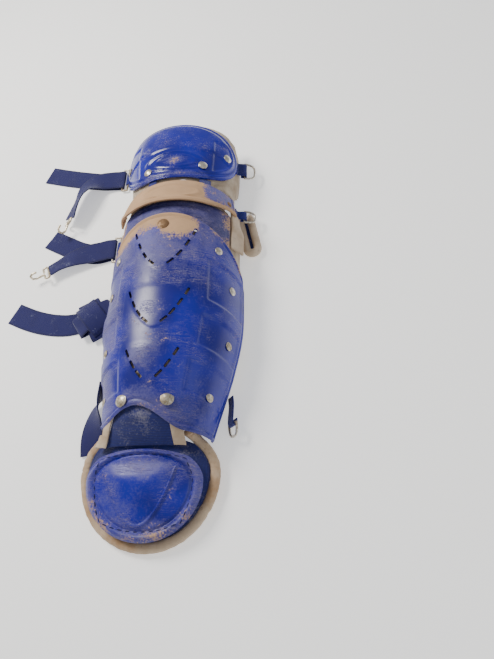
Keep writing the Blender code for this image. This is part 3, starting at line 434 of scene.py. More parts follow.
# %% [markdown]
# ### Weave
# Cloth and webbing are two sets of threads. Two sine waves of the UV map, whose unit is a metre,
# give the height of the threads, and turning the map by 45 degrees gives the mesh its diamonds.
# %% Weave group
weave_group, given, result = effect_group(
    "weave", [("Vector", "NodeSocketVector", None), ("Across", "NodeSocketFloat", 0.0012),
              ("Along", "NodeSocketFloat", 0.0012)],
    [("Height", "NodeSocketFloat")])
parts = add(weave_group, "ShaderNodeSeparateXYZ", inputs={"Vector": given.outputs["Vector"]})
waves = []
for axis, pitch in (("X", "Across"), ("Y", "Along")):
    phase = maths(weave_group, "DIVIDE", maths(weave_group, "MULTIPLY", parts.outputs[axis], math.tau),
                  given.outputs[pitch])
    waves.append(maths(weave_group, "SINE", phase))
height = maths(weave_group, "MULTIPLY_ADD", maths(weave_group, "MULTIPLY", waves[0], waves[1]), 0.5, 0.5)
weave_group.links.new(height, result.inputs["Height"])
print("weave nodes", len(weave_group.nodes))

# %% [markdown]
# ### Shell plastic
# The shells are royal blue plastic, moulded with a gloss that wear has half taken off. Over the
# blue lie three coats: a bluish grey haze of fine scuffs, hairline scratches, and tan dust. On the
# shin's left flank the haze is partly painted light as well. Each coat makes the surface rougher
# and a little raised.
# %% Shell plastic
def group_node(tree, group, inputs):
    return add(tree, "ShaderNodeGroup", {"node_tree": group}, inputs)


def worn_plastic(name, blue, deep_blue, gloss, scratch_amount, base_haze, dust_colour=(208, 168, 130)):
    """Blue plastic under haze, scratches and dust."""
    finish = bpy.data.materials.new(name)
    finish.use_nodes = True
    tree = finish.node_tree
    shader = tree.nodes["Principled BSDF"]
    place = add(tree, "ShaderNodeTexCoord").outputs["Object"]
    tan = add(tree, "ShaderNodeAttribute", {"attribute_name": "tan"}).outputs["Fac"]
    haze_and_light = add(tree, "ShaderNodeAttribute", {"attribute_name": "haze_and_light"}).outputs["Fac"]

    tone = add(tree, "ShaderNodeTexNoise", inputs={"Vector": place, "Scale": 14.0, "Detail": 2.0})
    colour = blend_colour(tree, step_mask(tree, tone.outputs["Fac"], 0.35, 0.65), rgb(*deep_blue),
                          rgb(*blue))
    haze_and_light_amount = maths(tree, "ADD", haze_and_light, base_haze)
    # On the shin's left flank this haze is partly painted light, paling the lit side in stripes.
    scuffs_and_light = group_node(tree, dust_group, {"Vector": place, "Amount": haze_and_light_amount, "Softness": 0.75})
    veil = maths(tree, "MULTIPLY", scuffs_and_light.outputs["Mask"], 0.52)
    colour = blend_colour(tree, veil, colour, rgb(112, 108, 160))
    lines = group_node(tree, scratch_group,
                       {"Vector": place, "Amount": maths(tree, "ADD", haze_and_light, scratch_amount)})
    colour = blend_colour(tree, maths(tree, "MULTIPLY", lines.outputs["Mask"], 0.42), colour,
                          rgb(166, 150, 158))
    coat = group_node(tree, dust_group, {"Vector": place, "Amount": tan, "Softness": 0.30})
    tint = add(tree, "ShaderNodeTexNoise", inputs={"Vector": place, "Scale": 55.0, "Detail": 4.0})
    deeper = tuple(0.86 * channel for channel in dust_colour)
    tan_colour = blend_colour(tree, tint.outputs["Fac"], rgb(*dust_colour), rgb(*deeper))
    colour = blend_colour(tree, coat.outputs["Mask"], colour, tan_colour)
    tree.links.new(colour, shader.inputs["Base Color"])

    rough = maths(tree, "ADD", gloss, maths(tree, "MULTIPLY", veil, 0.35))
    rough = maths(tree, "ADD", rough, maths(tree, "MULTIPLY", coat.outputs["Mask"], 0.5))
    rough = maths(tree, "ADD", rough, maths(tree, "MULTIPLY", tone.outputs["Fac"], 0.06))
    tree.links.new(add(tree, "ShaderNodeClamp", inputs={"Value": rough}).outputs[0],
                   shader.inputs["Roughness"])
    raised = maths(tree, "ADD", maths(tree, "MULTIPLY", coat.outputs["Mask"], 0.6),
                   maths(tree, "MULTIPLY", lines.outputs["Mask"], -0.5))
    relief = add(tree, "ShaderNodeBump", inputs={"Height": raised, "Distance": 0.0004, "Strength": 0.6})
    tree.links.new(relief.outputs["Normal"], shader.inputs["Normal"])
    return finish


shell_finish = worn_plastic("shell_finish", (26, 30, 156), (14, 16, 118), 0.27, 0.16, 0.06)
cap_finish = worn_plastic("cap_finish", (28, 34, 160), (15, 18, 124), 0.18, 0.0, 0.0)
band_finish = worn_plastic("band_finish", (24, 30, 112), (16, 20, 84), 0.42, 0.1, 0.22)
print("plastic finishes", [item.name for item in bpy.data.materials if "finish" in item.name])

# %% [markdown]
# ### Cloth, webbing and metal
# The padding is beige cloth that has taken up dirt, so its colour drifts between pale and brown.
# The mesh is a knit with open diamonds. The straps are ribbed elastic, darker and denser at their
# woven edges. The hardware is nickel plate with grime in patches.
# %% Cloth finishes
def soft_finish(name, pale, dirty, fibre=900.0, dirt_scale=24.0, rough=0.92):
    """Beige cloth: a drifting colour, dark specks and a fine fibre relief."""
    finish = bpy.data.materials.new(name)
    finish.use_nodes = True
    tree = finish.node_tree
    shader = tree.nodes["Principled BSDF"]
    place = add(tree, "ShaderNodeTexCoord").outputs["Object"]
    drift = add(tree, "ShaderNodeTexNoise", inputs={"Vector": place, "Scale": dirt_scale, "Detail": 5.0,
                                                    "Roughness": 0.65})
    tan = add(tree, "ShaderNodeAttribute", {"attribute_name": "tan"}).outputs["Fac"]
    dirt = step_mask(tree, maths(tree, "ADD", drift.outputs["Fac"], maths(tree, "MULTIPLY", tan, 0.35)),
                     0.38, 0.72)
    colour = blend_colour(tree, dirt, rgb(*pale), rgb(*dirty))
    specks = add(tree, "ShaderNodeTexNoise", inputs={"Vector": place, "Scale": 160.0, "Detail": 3.0})
    dark = maths(tree, "MULTIPLY", step_mask(tree, specks.outputs["Fac"], 0.62, 0.74), 0.35)
    colour = blend_colour(tree, dark, colour, rgb(112, 94, 80))
    tree.links.new(colour, shader.inputs["Base Color"])
    shader.inputs["Roughness"].default_value = rough
    shader.inputs["Sheen Weight"].default_value = 0.15
    thread = add(tree, "ShaderNodeTexNoise", inputs={"Vector": place, "Scale": fibre, "Detail": 2.0})
    fold = add(tree, "ShaderNodeTexNoise", inputs={"Vector": place, "Scale": 90.0, "Detail": 3.0})
    height = maths(tree, "ADD", maths(tree, "MULTIPLY", thread.outputs["Fac"], 0.35), fold.outputs["Fac"])
    relief = add(tree, "ShaderNodeBump", inputs={"Height": height, "Distance": 0.0012, "Strength": 0.5})
    tree.links.new(relief.outputs["Normal"], shader.inputs["Normal"])
    return finish


def woven_finish(name, thread_colour, deep_colour, across, along_pitch, turn_angle=0.0,
                 wear=(150, 156, 176),
                 edge_width=None, rough=0.8, depth=0.0005):
    """Woven goods on their own UV map in metres, worn pale where haze is given."""
    finish = bpy.data.materials.new(name)
    finish.use_nodes = True
    tree = finish.node_tree
    shader = tree.nodes["Principled BSDF"]
    coordinates = add(tree, "ShaderNodeTexCoord")
    turned = add(tree, "ShaderNodeMapping", inputs={"Vector": coordinates.outputs["UV"],
                                                    "Rotation": (0.0, 0.0, turn_angle)})
    threads = group_node(tree, weave_group, {"Vector": turned.outputs["Vector"], "Across": across,
                                             "Along": along_pitch})
    colour = blend_colour(tree, threads.outputs["Height"], rgb(*deep_colour), rgb(*thread_colour))
    haze_and_light = add(tree, "ShaderNodeAttribute", {"attribute_name": "haze_and_light"}).outputs["Fac"]
    worn = group_node(tree, dust_group,
                      {"Vector": coordinates.outputs["Object"], "Amount": haze_and_light, "Softness": 0.5})
    rub = maths(tree, "MULTIPLY", worn.outputs["Mask"],
                maths(tree, "MULTIPLY_ADD", threads.outputs["Height"], 0.6, 0.25))
    colour = blend_colour(tree, rub, colour, rgb(*wear))
    soil = add(tree, "ShaderNodeTexNoise",
               inputs={"Vector": coordinates.outputs["Object"], "Scale": 30.0, "Detail": 4.0})
    shade = maths(tree, "MULTIPLY", step_mask(tree, soil.outputs["Fac"], 0.45, 0.75), 0.30)
    colour = blend_colour(tree, shade, colour, rgb(*deep_colour))
    if edge_width:
        side = add(tree, "ShaderNodeSeparateXYZ", inputs={"Vector": coordinates.outputs["UV"]}).outputs["X"]
        off_middle = maths(tree, "ABSOLUTE", maths(tree, "SUBTRACT", side, edge_width / 2))
        selvage = step_mask(tree, off_middle, edge_width / 2 - 0.0034, edge_width / 2 - 0.0022)
        colour = blend_colour(tree, maths(tree, "MULTIPLY", selvage, 0.5), colour, rgb(*deep_colour))
    tree.links.new(colour, shader.inputs["Base Color"])
    shader.inputs["Roughness"].default_value = rough
    shader.inputs["Sheen Weight"].default_value = 0.2
    relief = add(tree, "ShaderNodeBump", inputs={"Height": threads.outputs["Height"], "Distance": depth,
                                                 "Strength": 0.6})
    tree.links.new(relief.outputs["Normal"], shader.inputs["Normal"])
    return finish


STRAP_WIDTH, TAB_WIDTH, NARROW_TAB_WIDTH = 0.037, 0.025, 0.015
pad_finish = soft_finish("pad_finish", (196, 180, 158), (160, 138, 114))
binding_finish = soft_finish("binding_finish", (206, 186, 162), (178, 152, 124), fibre=700.0)
rim_finish = soft_finish("rim_finish", (200, 176, 148), (176, 140, 104), fibre=700.0)
mesh_finish = woven_finish("mesh_finish", (22, 38, 122), (8, 14, 66), 0.0022, 0.0022, math.pi / 4,
                           wear=(150, 146, 150))
lining_finish = woven_finish("lining_finish", (26, 40, 112), (12, 20, 74), 0.0026, 0.0026, math.pi / 4)
strap_finish = woven_finish("strap_finish", (12, 16, 104), (6, 8, 66), 0.0030, 0.0011,
                            edge_width=STRAP_WIDTH)
web_finish = woven_finish("web_finish", (22, 36, 138), (14, 22, 96), 0.0016, 0.0012)
print("soft finishes made")

# %% Metal and thread
def metal_finish(name, bright, grime, rough, grime_amount):
    """Nickel plate, dulled, with grime that gathers in patches."""
    finish = bpy.data.materials.new(name)
    finish.use_nodes = True
    tree = finish.node_tree
    shader = tree.nodes["Principled BSDF"]
    place = add(tree, "ShaderNodeTexCoord").outputs["Object"]
    patches = group_node(tree, dust_group, {"Vector": place, "Amount": grime_amount, "Softness": 0.4})
    colour = blend_colour(tree, patches.outputs["Mask"], rgb(*bright), rgb(*grime))
    tree.links.new(colour, shader.inputs["Base Color"])
    shader.inputs["Metallic"].default_value = 1.0
    rubbed = add(tree, "ShaderNodeTexNoise", inputs={"Vector": place, "Scale": 240.0, "Detail": 3.0})
    dull = maths(tree, "MULTIPLY_ADD", patches.outputs["Mask"], 0.25, rough)
    tree.links.new(maths(tree, "MULTIPLY_ADD", rubbed.outputs["Fac"], 0.12, dull),
                   shader.inputs["Roughness"])
    relief = add(tree, "ShaderNodeBump",
                 inputs={"Height": rubbed.outputs["Fac"], "Distance": 0.0003, "Strength": 0.25})
    tree.links.new(relief.outputs["Normal"], shader.inputs["Normal"])
    return finish


nickel_finish = metal_finish("nickel_finish", (222, 216, 204), (150, 134, 112), 0.22, 0.45)
rivet_finish = metal_finish("rivet_finish", (206, 200, 188), (158, 144, 122), 0.30, 0.50)
dusty_rivet_finish = metal_finish("dusty_rivet_finish", (178, 150, 122), (150, 122, 94), 0.5, 0.7)
thread_finish = soft_finish("thread_finish", (24, 28, 84), (14, 16, 54), fibre=1200.0)
print("materials", len(bpy.data.materials))

# %% [markdown]
# ## The shin shell
# The real shell is one sheet of plastic, pressed in a mould. Its middle stands a little proud, and
# on each side three panels are pressed in between slanting bars. Here it is a fine grid that is
# bent over the arch. The relief is only a change of lift, so each form can be tuned by itself.
# %% Shin relief
SlotArc = namedtuple("SlotArc", "end bottom turn shares")
SLOT_ARCS = [SlotArc(0.890, 0.700, 0.275, (0.24, 0.50, 0.76, 1.0)),
             SlotArc(0.570, 0.415, 0.245, (0.26, 0.51, 0.76, 1.0)),
             SlotArc(0.295, 0.180, 0.215, (0.36, 0.69, 1.0))]
ARC_CENTRE_TURN = 0.015
SidePanel = namedtuple("SidePanel", "low high start")
SIDE_PANELS = [SidePanel(0.15, 0.27, 0.31), SidePanel(0.345, 0.475, 0.37), SidePanel(0.56, 0.76, 0.405)]


def shin_share(y):
    return (y - TOE_REACH) / SHIN_LENGTH


def shin_low_edge(turn):
    instep = 1.0 - ease(0.0, 0.52, abs(turn + 0.09))
    return TOE_REACH + SHIN_LENGTH * (0.012 - 0.030 * turn + 0.072 * instep)


def shin_top_edge(turn):
    return TOE_REACH + SHIN_LENGTH * (1.0 - 0.30 * turn * turn)


def arc_place(arc, side, share):
    """Place of a slot on one of the arcs: y and turn."""
    return (along("shin", mix(arc.bottom, arc.end, share**1.55)),
            ARC_CENTRE_TURN + side * arc.turn * share**0.85)


def arc_step(y, turn):
    """How far a place lies inside an arc of slots, 0 outside and 1 well inside."""
    inside = 0.0
    for arc in SLOT_ARCS:
        share = (abs(turn - ARC_CENTRE_TURN) / arc.turn) ** (1 / 0.85)
        floor_y = along("shin", mix(arc.bottom, arc.end, min(1.3, share) ** 1.55)) - 0.005
        top_y = along("shin", arc.end) + 0.004
        inside = max(inside, ease(-0.0012, 0.0012, y - floor_y) * (1.0 - ease(0.0, 0.012, y - top_y)))
    return inside


def shin_relief(y, turn):
    """Lift of the shin shell's face over the arch."""
    share = shin_share(y)
    side = turn - ARC_CENTRE_TURN
    away = abs(side)
    crest_end = 0.29 if side < 0 else 0.30 + 0.05 * share
    middle = 0.0024 * (1.0 - ease(crest_end, crest_end + 0.045, away))
    slant = 0.10 * max(0.0, away - 0.38)
    frame_lift, inside = 0.0021, 0.0
    for panel in SIDE_PANELS:
        across = ease(panel.start, panel.start + 0.035, away) * (1.0 - ease(0.84, 0.90, away))
        upright = (ease(panel.low - 0.012, panel.low + 0.004, share + slant)
                   * (1.0 - ease(panel.high - 0.004, panel.high + 0.014, share + slant)))
        inside = max(inside, across * upright)
    bars = frame_lift * ease(crest_end, crest_end + 0.05, away) * (1.0 - ease(0.86, 0.94, away))
    bars *= 1.0 - inside
    low_skirt = 1.0 - ease(0.085, 0.115, share - 0.02 * away)
    distance = min(shin_top_edge(turn) - y, y - shin_low_edge(turn), (1.0 - abs(turn)) * 0.15)
    return (middle + bars) * (1.0 - 0.55 * low_skirt) + 0.0006 * arc_step(y, turn) + lip(distance, 0.0010)


def shin_place(u, v):
    turn = mix(-1.0, 1.0, u)
    y = mix(shin_low_edge(turn), shin_top_edge(turn), v)
    return leg_point(y, turn, shin_relief(y, turn))


def shin_dust(u, v):
    """Tan dust under the knee, and haze above the instep and in mid shin. On the left flank the haze is
    partly dust and partly painted light, striped with painted highlight.
    """
    turn = mix(-1.0, 1.0, u)
    y = mix(shin_low_edge(turn), shin_top_edge(turn), v)
    knee = ease(0.376, 0.412, y + 0.010 * math.sin(9.0 * turn)) * (1.0 - ease(0.16, 0.46, turn))
    rim = ease(0.010, 0.002, shin_top_edge(turn) - y) if shin_top_edge(turn) - y < 0.010 else 0.0
    tan = max(0.98 * knee, 0.35 * rim)
    # The left flank's haze is partly dust and partly painted light: it pales the lit flank, in slanting
    # stripes of painted highlight.
    left = ease(-0.24, -0.42, turn) if turn < -0.24 else 0.0
    upper = ease(0.290, 0.385, y) * (1.0 - ease(0.45, 0.70, turn))
    instep = 1.0 - ease(0.004, 0.034, y - shin_low_edge(turn))
    patch = bump(0.212, 0.012, y) * bump(-0.10, 0.11, turn)
    right = 0.30 * bump(0.150, 0.030, y) * bump(0.45, 0.25, turn)
    # The first term is the left flank's haze, part dust and part painted light with striped painted
    # highlight.
    haze_and_light = max(0.75 * left * (0.6 + 0.4 * math.sin(58.0 * (y + 0.06 * turn))), 0.62 * upper,
               0.62 * instep * (1.0 - ease(0.3, 0.8, abs(turn))), 0.55 * patch, right)
    return tan, haze_and_light


print("relief on the crest mm", round(shin_relief(0.30, 0.0) * 1000, 2))

# %% [markdown]
# ### Cutting the slots
# The slots are holes that let sweat out, so they are cut right through: one mesh of small rounded
# bars is taken away from the shell with an exact Boolean, and the bars are removed again.
# %% Shin shell
shin_shape = grid_shape(150, 160, shin_place, (0.30, 0.30), shin_dust)
shin_shell = thick_sheet("shin_shell_worn", shin_shape, SHELL_WALL, shell_finish,
                         ["shin_shell"])

cutter_shape = bmesh.new()
for arc in SLOT_ARCS:
    for side in (-1, 1):
        for share in arc.shares:
            point, normal = leg_frame(*arc_place(arc, side, share))
            run = leg_point(*arc_place(arc, side, share + 0.03)) - point
            run = (run - run.dot(normal) * normal).normalized()
            turned = Matrix((run, normal.cross(run), normal)).transposed().to_4x4()
            bar = bmesh.ops.create_cube(cutter_shape, size=1.0, matrix=Matrix.Translation(point) @ turned
                                        @ Matrix.Diagonal((0.0118, 0.0036, 0.014, 1.0)))
            upright = [edge for edge in {e for v in bar["verts"] for e in v.link_edges}
                       if abs((edge.verts[0].co - edge.verts[1].co).normalized().dot(normal)) > 0.9]
            bmesh.ops.bevel(cutter_shape, geom=upright, offset=0.0013, segments=3, profile=0.5,
                            affect="EDGES",
                            material=-1)
bmesh.ops.translate(cutter_shape, vec=PLACE, verts=cutter_shape.verts[:])
slot_bars = bpy.data.objects.new("slot_bars", bpy.data.meshes.new("slot_bars"))
cutter_shape.to_mesh(slot_bars.data)
cutter_shape.free()
bpy.context.scene.collection.objects.link(slot_bars)
cut = shin_shell.modifiers.new("slots", "BOOLEAN")
cut.operation, cut.solver, cut.object = "DIFFERENCE", "EXACT", slot_bars
settle_modifiers(shin_shell)
bpy.data.objects.remove(slot_bars, do_unlink=True)
print("shin shell faces", len(shin_shell.data.polygons))

# %% [markdown]
# ## Knee band and knee cup
# The band is a plain curved plate. Its lettering is left off, so only scuffs and dust are on it.
# The cup rides over it with a lip that stands away, which gives the black line between the two.
# Almost all of the cup is under tan dust, and only its right side shows blue.
# %% Knee band and cup
BAND_TURN, CUP_TURN, KNEE_CUP_LENGTH, CUP_FLARE = 0.71, 0.78, 0.045, 0.009


def band_place(u, v):
    turn = mix(-BAND_TURN, BAND_TURN, u)
    low, high = shin_top_edge(turn) - 0.12 * KNEE_LENGTH, along("knee", 0.36)
    distance = min((1.0 - v) * 0.03, u * 0.21, (1.0 - u) * 0.21)
    return leg_point(mix(low, high, v), turn, BAND_LIFT + lip(distance, 0.0006))


def band_dust(u, v):
    ends = 1.0 - ease(0.02, 0.16, min(u, 1.0 - u))
    return 0.42 * ends + 0.25 * ease(0.35, 0.0, v) * (v < 0.35), 0.35


def cup_edges(turn):
    side = abs(turn) / CUP_TURN
    low = along("knee", 0.24 + 0.05 * turn)
    high = low + KNEE_CUP_LENGTH * (1.0 + 0.15 * turn - 0.22 * side * side)
    return low + (0.014 if turn < 0 else 0.009) * ease(0.45, 1.0, side), high


def cup_lift(y, turn):
    """Lift of the knee cup's face: flared at its lip, with an oval pressed into the middle."""
    low, high = cup_edges(turn)
    side = abs(turn) / CUP_TURN
    v = max(0.0, min(1.0, (y - low) / (high - low)))
    base = mix(mix(CUP_FLARE, 0.15 * CUP_FLARE, side * side), CAP_LIFT + GAP, v**1.4)
    oval = math.hypot((turn - 0.03) / 0.27, (y - 0.4665) / 0.0135)
    ring = 0.0011 * bump(1.0, 0.11, oval) - 0.0005 * (1.0 - ease(0.75, 0.98, oval))
    distance = min(y - low, (1.0 - side) * 0.11)
    wing_step = -0.0012 * ease(0.42, 0.47, turn) * ease(0.10, 0.22, v)
    groove = 0.0008 * bump(0.0074, 0.0014, distance)
    return base + ring + wing_step + 0.0011 * bump(0.0036, 0.0017, distance) - groove


def cup_place(u, v):
    turn = mix(-CUP_TURN, CUP_TURN, u)
    low, high = cup_edges(turn)
    y = mix(low, high, v)
    return leg_point(y, turn, cup_lift(y, turn))


def cup_dust(u, v):
    turn = mix(-CUP_TURN, CUP_TURN, u)
    blue_side = ease(0.30, 0.40, turn)
    left = 0.25 * ease(-0.50, -0.75, turn) if turn < -0.5 else 0.0
    return 1.0 - 0.72 * blue_side * ease(0.05, 0.30, v) - left, 0.75


knee_band = thick_sheet("knee_band_worn", grid_shape(96, 24, band_place, (0.21, 0.04), band_dust),
                        BAND_WALL,
                        band_finish, ["knee_band"])
knee_cup = thick_sheet("knee_cup_worn", grid_shape(150, 44, cup_place, (0.23, 0.045), cup_dust), SHELL_WALL,
                       shell_finish, ["knee_cup"])
settle_modifiers(knee_band)
settle_modifiers(knee_cup)
print("knee pieces", len(knee_band.data.polygons), len(knee_cup.data.polygons))

# %% [markdown]
# ## Thigh cap
# The cap is an oval with a flange all round. Above the flange it steps up, and the moulded relief
# on it has three parts: a double oval low in the middle, a brow that runs over the oval, and a
# flat bay at each end for the rivets. It is the glossiest piece, so its relief is kept smooth.
# %% Thigh cap
CAP_TURN = 0.82


def cap_relief(turn, upward, out):
    """Lift on the cap: upward is -1 at the lower edge and 1 at the upper, out is 1 at the border."""
    distance = (1.0 - out) * 0.075
    dome = 0.0019 * ease(0.0062, 0.0105, distance)
    border = 0.0010 * bump(0.0030, 0.0020, distance) - 0.0009 * (1.0 - ease(0.0, 0.0016, distance))
    oval = math.hypot((turn - 0.035) / 0.31, (upward + 0.47) / 0.27)
    ovals = 0.0016 * bump(1.0, 0.10, oval) + 0.0011 * bump(0.68, 0.10,
                                                           oval) - 0.0006 * (1.0 - ease(0.4, 0.6, oval))
    brow_line = -0.05 - 0.9 * (turn - 0.03) ** 2 + 0.16 * ease(0.25, 0.42, abs(turn - 0.03))
    brow = 0.0013 * ease(-0.05, 0.05, upward - brow_line)
    clear_of_edge = ease(0.010, 0.014, distance)
    bay = ease(0.40, 0.45, abs(turn - 0.02)) * (1.0 - ease(0.30, 0.42, upward)) * clear_of_edge
    bay_right = 0.0022 if turn > 0 else 0.0017
    return dome + border + (ovals + brow) * ease(0.008, 0.016, distance) - bay_right * bay


def cap_grid(u, v):
    across, upward = round_square(u, v, 0.92)
    return CAP_TURN * across, upward, min(1.0, math.hypot(across, upward))


def cap_place(u, v):
    turn, upward, out = cap_grid(u, v)
    return leg_point(along("thigh", 0.5 + 0.5 * upward), turn, CAP_LIFT + cap_relief(turn, upward, out))


def cap_dust(u, v):
    turn, upward = cap_grid(u, v)[:2]
    oval = math.hypot((turn - 0.05) / 0.20, (upward + 0.42) / 0.20)
    worn = 0.62 * (1.0 - ease(0.25, 1.0, oval))
    low_line = 0.42 * bump(-0.86, 0.08, upward)
    return 0.34 * (1.0 - ease(0.1, 0.8, oval)), max(worn, low_line, 0.16 * ease(-0.2, 0.1, upward))


thigh_cap = thick_sheet("thigh_cap_worn", grid_shape(140, 110, cap_place, (0.24, 0.125), cap_dust),
                        SHELL_WALL,
                        cap_finish, ["thigh_shell"])
settle_modifiers(thigh_cap)
print("thigh cap faces", len(thigh_cap.data.polygons))

# %% [markdown]
# ## Toe plate
# The toe plate is a shield with a rolled border, a sewn groove inside the border and a V-shaped
# rib that holds a smooth bulge. The thread in the groove is made apart, as short rounded dashes
# that dip at their ends, because that is how a saddle stitch lies in its channel.
# %% Toe plate
TOE_PAD_WIDTH, TOE_PAD_LENGTH, TOE_PAD_WALL = 0.160, 0.123, 0.014
TOE_PLATE_WIDTH, TOE_PLATE_LENGTH = 0.150, 0.105
TOE_TIP_HEIGHT, TOE_SLOPE, TOE_RIM_RADIUS, TOE_OFF_CENTRE = 0.0195, 0.235, 0.0058, 0.016
TOE_PAD_TIP = 2 * TOE_RIM_RADIUS - 0.0027


def toe_height(x, y):
    across = min(1.0, abs(x + TOE_OFF_CENTRE) / (0.58 * TOE_PAD_WIDTH))
    crest = TOE_TIP_HEIGHT + TOE_SLOPE * y
    return TOE_PAD_WALL + (crest - TOE_PAD_WALL) * math.sqrt(1.0 - across * across)


def shield(u, v, width, tip, length):
    """Point on a shield outline, with how far out it lies and its place on a unit shield."""
    x, y = round_square(u, v, 1.0 if v < 0.5 else 0.80)
    waist = tip + 0.66 * length
    reach = length * (0.66 if y < 0 else 0.34)
    point = Vector((-TOE_OFF_CENTRE + 0.5 * width * x, waist + reach * y, 0.0))
    return point, min(1.0, math.hypot(x, y)), x, (waist + reach * y - tip) / length


def plate_relief(out, x, share):
    """Border roll, groove, rib and bulge of the toe plate."""
    distance = (1.0 - out) * 0.062
    border = (0.0024 * bump(0.0048, 0.0030, distance) - 0.0020 * bump(0.0108, 0.0017, distance)
              - 0.0012 * (1.0 - ease(0.0, 0.0022, distance)))
    rib_line = 0.17 + 0.60 * (abs(x + 0.06) / 0.62) ** 1.9
    within = share - rib_line
    clear_of_edge = ease(0.0, 0.04, distance - 0.008)
    rib = 0.0017 * bump(0.0, 0.035, within) * (1.0 - ease(0.76, 0.84, share)) * clear_of_edge
    rib += 0.0022 * bump(0.0, 0.030, within) * (1.0 - ease(0.76, 0.84, share))
    dome = 0.0060 * ease(0.0, 0.42, within) * (1.0 - ease(0.60, 0.90, share))
    dome += 0.0020 * ease(0.02, 0.06, within) * (1.0 - ease(0.70, 0.86, share))
    return border + (rib + dome) * ease(0.011, 0.017, distance)


def plate_place(u, v, extra=0.0):
    point, out, x, share = shield(u, v, TOE_PLATE_WIDTH, TOE_PAD_TIP - 0.001, TOE_PLATE_LENGTH)
    under = toe_height(point.x, point.y) + LAYER_GAP + SHELL_WALL + 0.0015
    point.z = under + plate_relief(out, x, share) + extra
    return point


def plate_dust(u, v):
    out, x, share = shield(u, v, TOE_PLATE_WIDTH, TOE_PAD_TIP - 0.001, TOE_PLATE_LENGTH)[1:]
    border = ease(0.74, 0.95, out)
    top = bump(0.80, 0.13, share) * (1.0 - ease(0.35, 0.9, abs(x - 0.05)))
    left = 0.5 * bump(-0.45, 0.35, x) * bump(0.35, 0.35, share)
    low = 0.55 * (1.0 - ease(0.10, 0.34, share))
    return 0.36 * border * (1.0 - ease(0.2, 0.7, share)), max(0.66 * border, 0.72 * top, left, low)


toe_plate = thick_sheet("toe_plate_worn", grid_shape(130, 110, plate_place, (0.15, 0.105), plate_dust),
                        SHELL_WALL,
                        shell_finish, ["toe_plate"])
settle_modifiers(toe_plate)
print("toe plate faces", len(toe_plate.data.polygons))


# %% Stitches
def stitch_line(name, places, length, thickness, finish, nodes=()):
    """Thread dashes centred on places, each a (point, run, normal)."""
    shape = bmesh.new()
    for point, run, normal in places:
        run = (run - run.dot(normal) * normal).normalized()
        turned = Matrix((run, normal.cross(run), normal)).transposed().to_4x4()
        bmesh.ops.create_icosphere(shape, subdivisions=2, radius=0.5,
                                   matrix=Matrix.Translation(point) @ turned
                                   @ Matrix.Diagonal((length, thickness, 0.7 * thickness, 1.0)))
    return new_piece(name, shape, finish, nodes)


def ring_walk(place, inset, count):
    """Even places along the border of a mapped square, drawn in by an inset: point, run, normal."""
    def spot(t):
        angle = math.tau * t
        x, y = math.cos(angle), math.sin(angle)
        grow = (1.0 - inset) / max(abs(x), abs(y))
        return 0.5 + 0.5 * grow * x, 0.5 + 0.5 * grow * y

    fine = [place(*spot(step / 720)) for step in range(721)]
    runs = [0.0]
    for first, second in zip(fine, fine[1:]):
        runs.append(runs[-1] + (second - first).length)
    places = []
    for step in range(count):
        goal = runs[-1] * step / count
        index = next(i for i in range(720) if runs[i + 1] >= goal)
        t = (index + (goal - runs[index]) / (runs[index + 1] - runs[index])) / 720
        u, v = spot(t)
        point = place(u, v)
        side, ahead = place(u + 0.004, v) - point, place(u, v + 0.004) - point
        places.append((point, place(*spot(t + 0.002)) - point, side.cross(ahead).normalized()))
    return places


groove = [(point - 0.0001 * normal, run, normal) for point, run,
          normal in ring_walk(plate_place, 0.172, 38)]
stitch_line("toe_plate_thread", groove, 0.0068, 0.0017, thread_finish)
print("stitches", len(groove))

# %% [markdown]
# ## Rivets
# Each rivet is a domed nickel head with a thin rim, turned from a profile with the spin operator.
# All heads of one shell are one piece. A head stands square to the shell and sits on the relief
# at its own place.
# %% Rivets
RivetPlace = namedtuple("RivetPlace", "node zone share turn radius")
HEAD_PROFILE = [(0.0, 0.42), (0.30, 0.40), (0.58, 0.33), (0.80, 0.21), (0.90, 0.14), (1.0, 0.12),
                (1.03, 0.07),
                (1.0, -0.02)]  # out and up, as shares of the head's radius
SIDE_RIVET, CAP_RIVET, BOTTOM_RIVET, TOP_RIVET, CUP_RIVET = 0.0058, 0.0068, 0.0082, 0.0080, 0.0042
RIVETS = [
    RivetPlace("shin_rivet_left_1", "shin", 0.135, -0.62, SIDE_RIVET),
    RivetPlace("shin_rivet_left_2", "shin", 0.340, -0.56, SIDE_RIVET),
    RivetPlace("shin_rivet_left_3", "shin", 0.620, -0.56, SIDE_RIVET),
    RivetPlace("shin_rivet_left_4", "shin", 0.800, -0.50, SIDE_RIVET),
    RivetPlace("shin_rivet_right_1", "shin", 0.140, 0.66, SIDE_RIVET),
    RivetPlace("shin_rivet_right_2", "shin", 0.375, 0.74, SIDE_RIVET),
    RivetPlace("shin_rivet_right_3", "shin", 0.645, 0.72, SIDE_RIVET),
    RivetPlace("shin_rivet_right_4", "shin", 0.820, 0.53, SIDE_RIVET),
    RivetPlace("shin_rivet_bottom_left", "shin", 0.110, -0.25, BOTTOM_RIVET),
    RivetPlace("shin_rivet_bottom_right", "shin", 0.108, 0.215, BOTTOM_RIVET),
    RivetPlace("shin_rivet_top", "shin", 0.930, 0.0, TOP_RIVET),
    RivetPlace("cup_rivet_left", "knee", 0.46, -0.66, CUP_RIVET),
    RivetPlace("cup_rivet_right", "knee", 0.56, 0.66, CUP_RIVET),
    RivetPlace("thigh_rivet_outer_left", "thigh", 0.46, -0.64, CAP_RIVET),
    RivetPlace("thigh_rivet_inner_left", "thigh", 0.17, -0.26, CAP_RIVET),
    RivetPlace("thigh_rivet_inner_right", "thigh", 0.21, 0.33, CAP_RIVET),
    RivetPlace("thigh_rivet_outer_right", "thigh", 0.48, 0.62, CAP_RIVET),
]


def cap_lift(y, turn):
    upward = (y - along("thigh", 0.5)) / (0.5 * THIGH_LENGTH)
    return CAP_LIFT + cap_relief(turn, upward, min(1.0, math.hypot(turn / CAP_TURN, upward)))


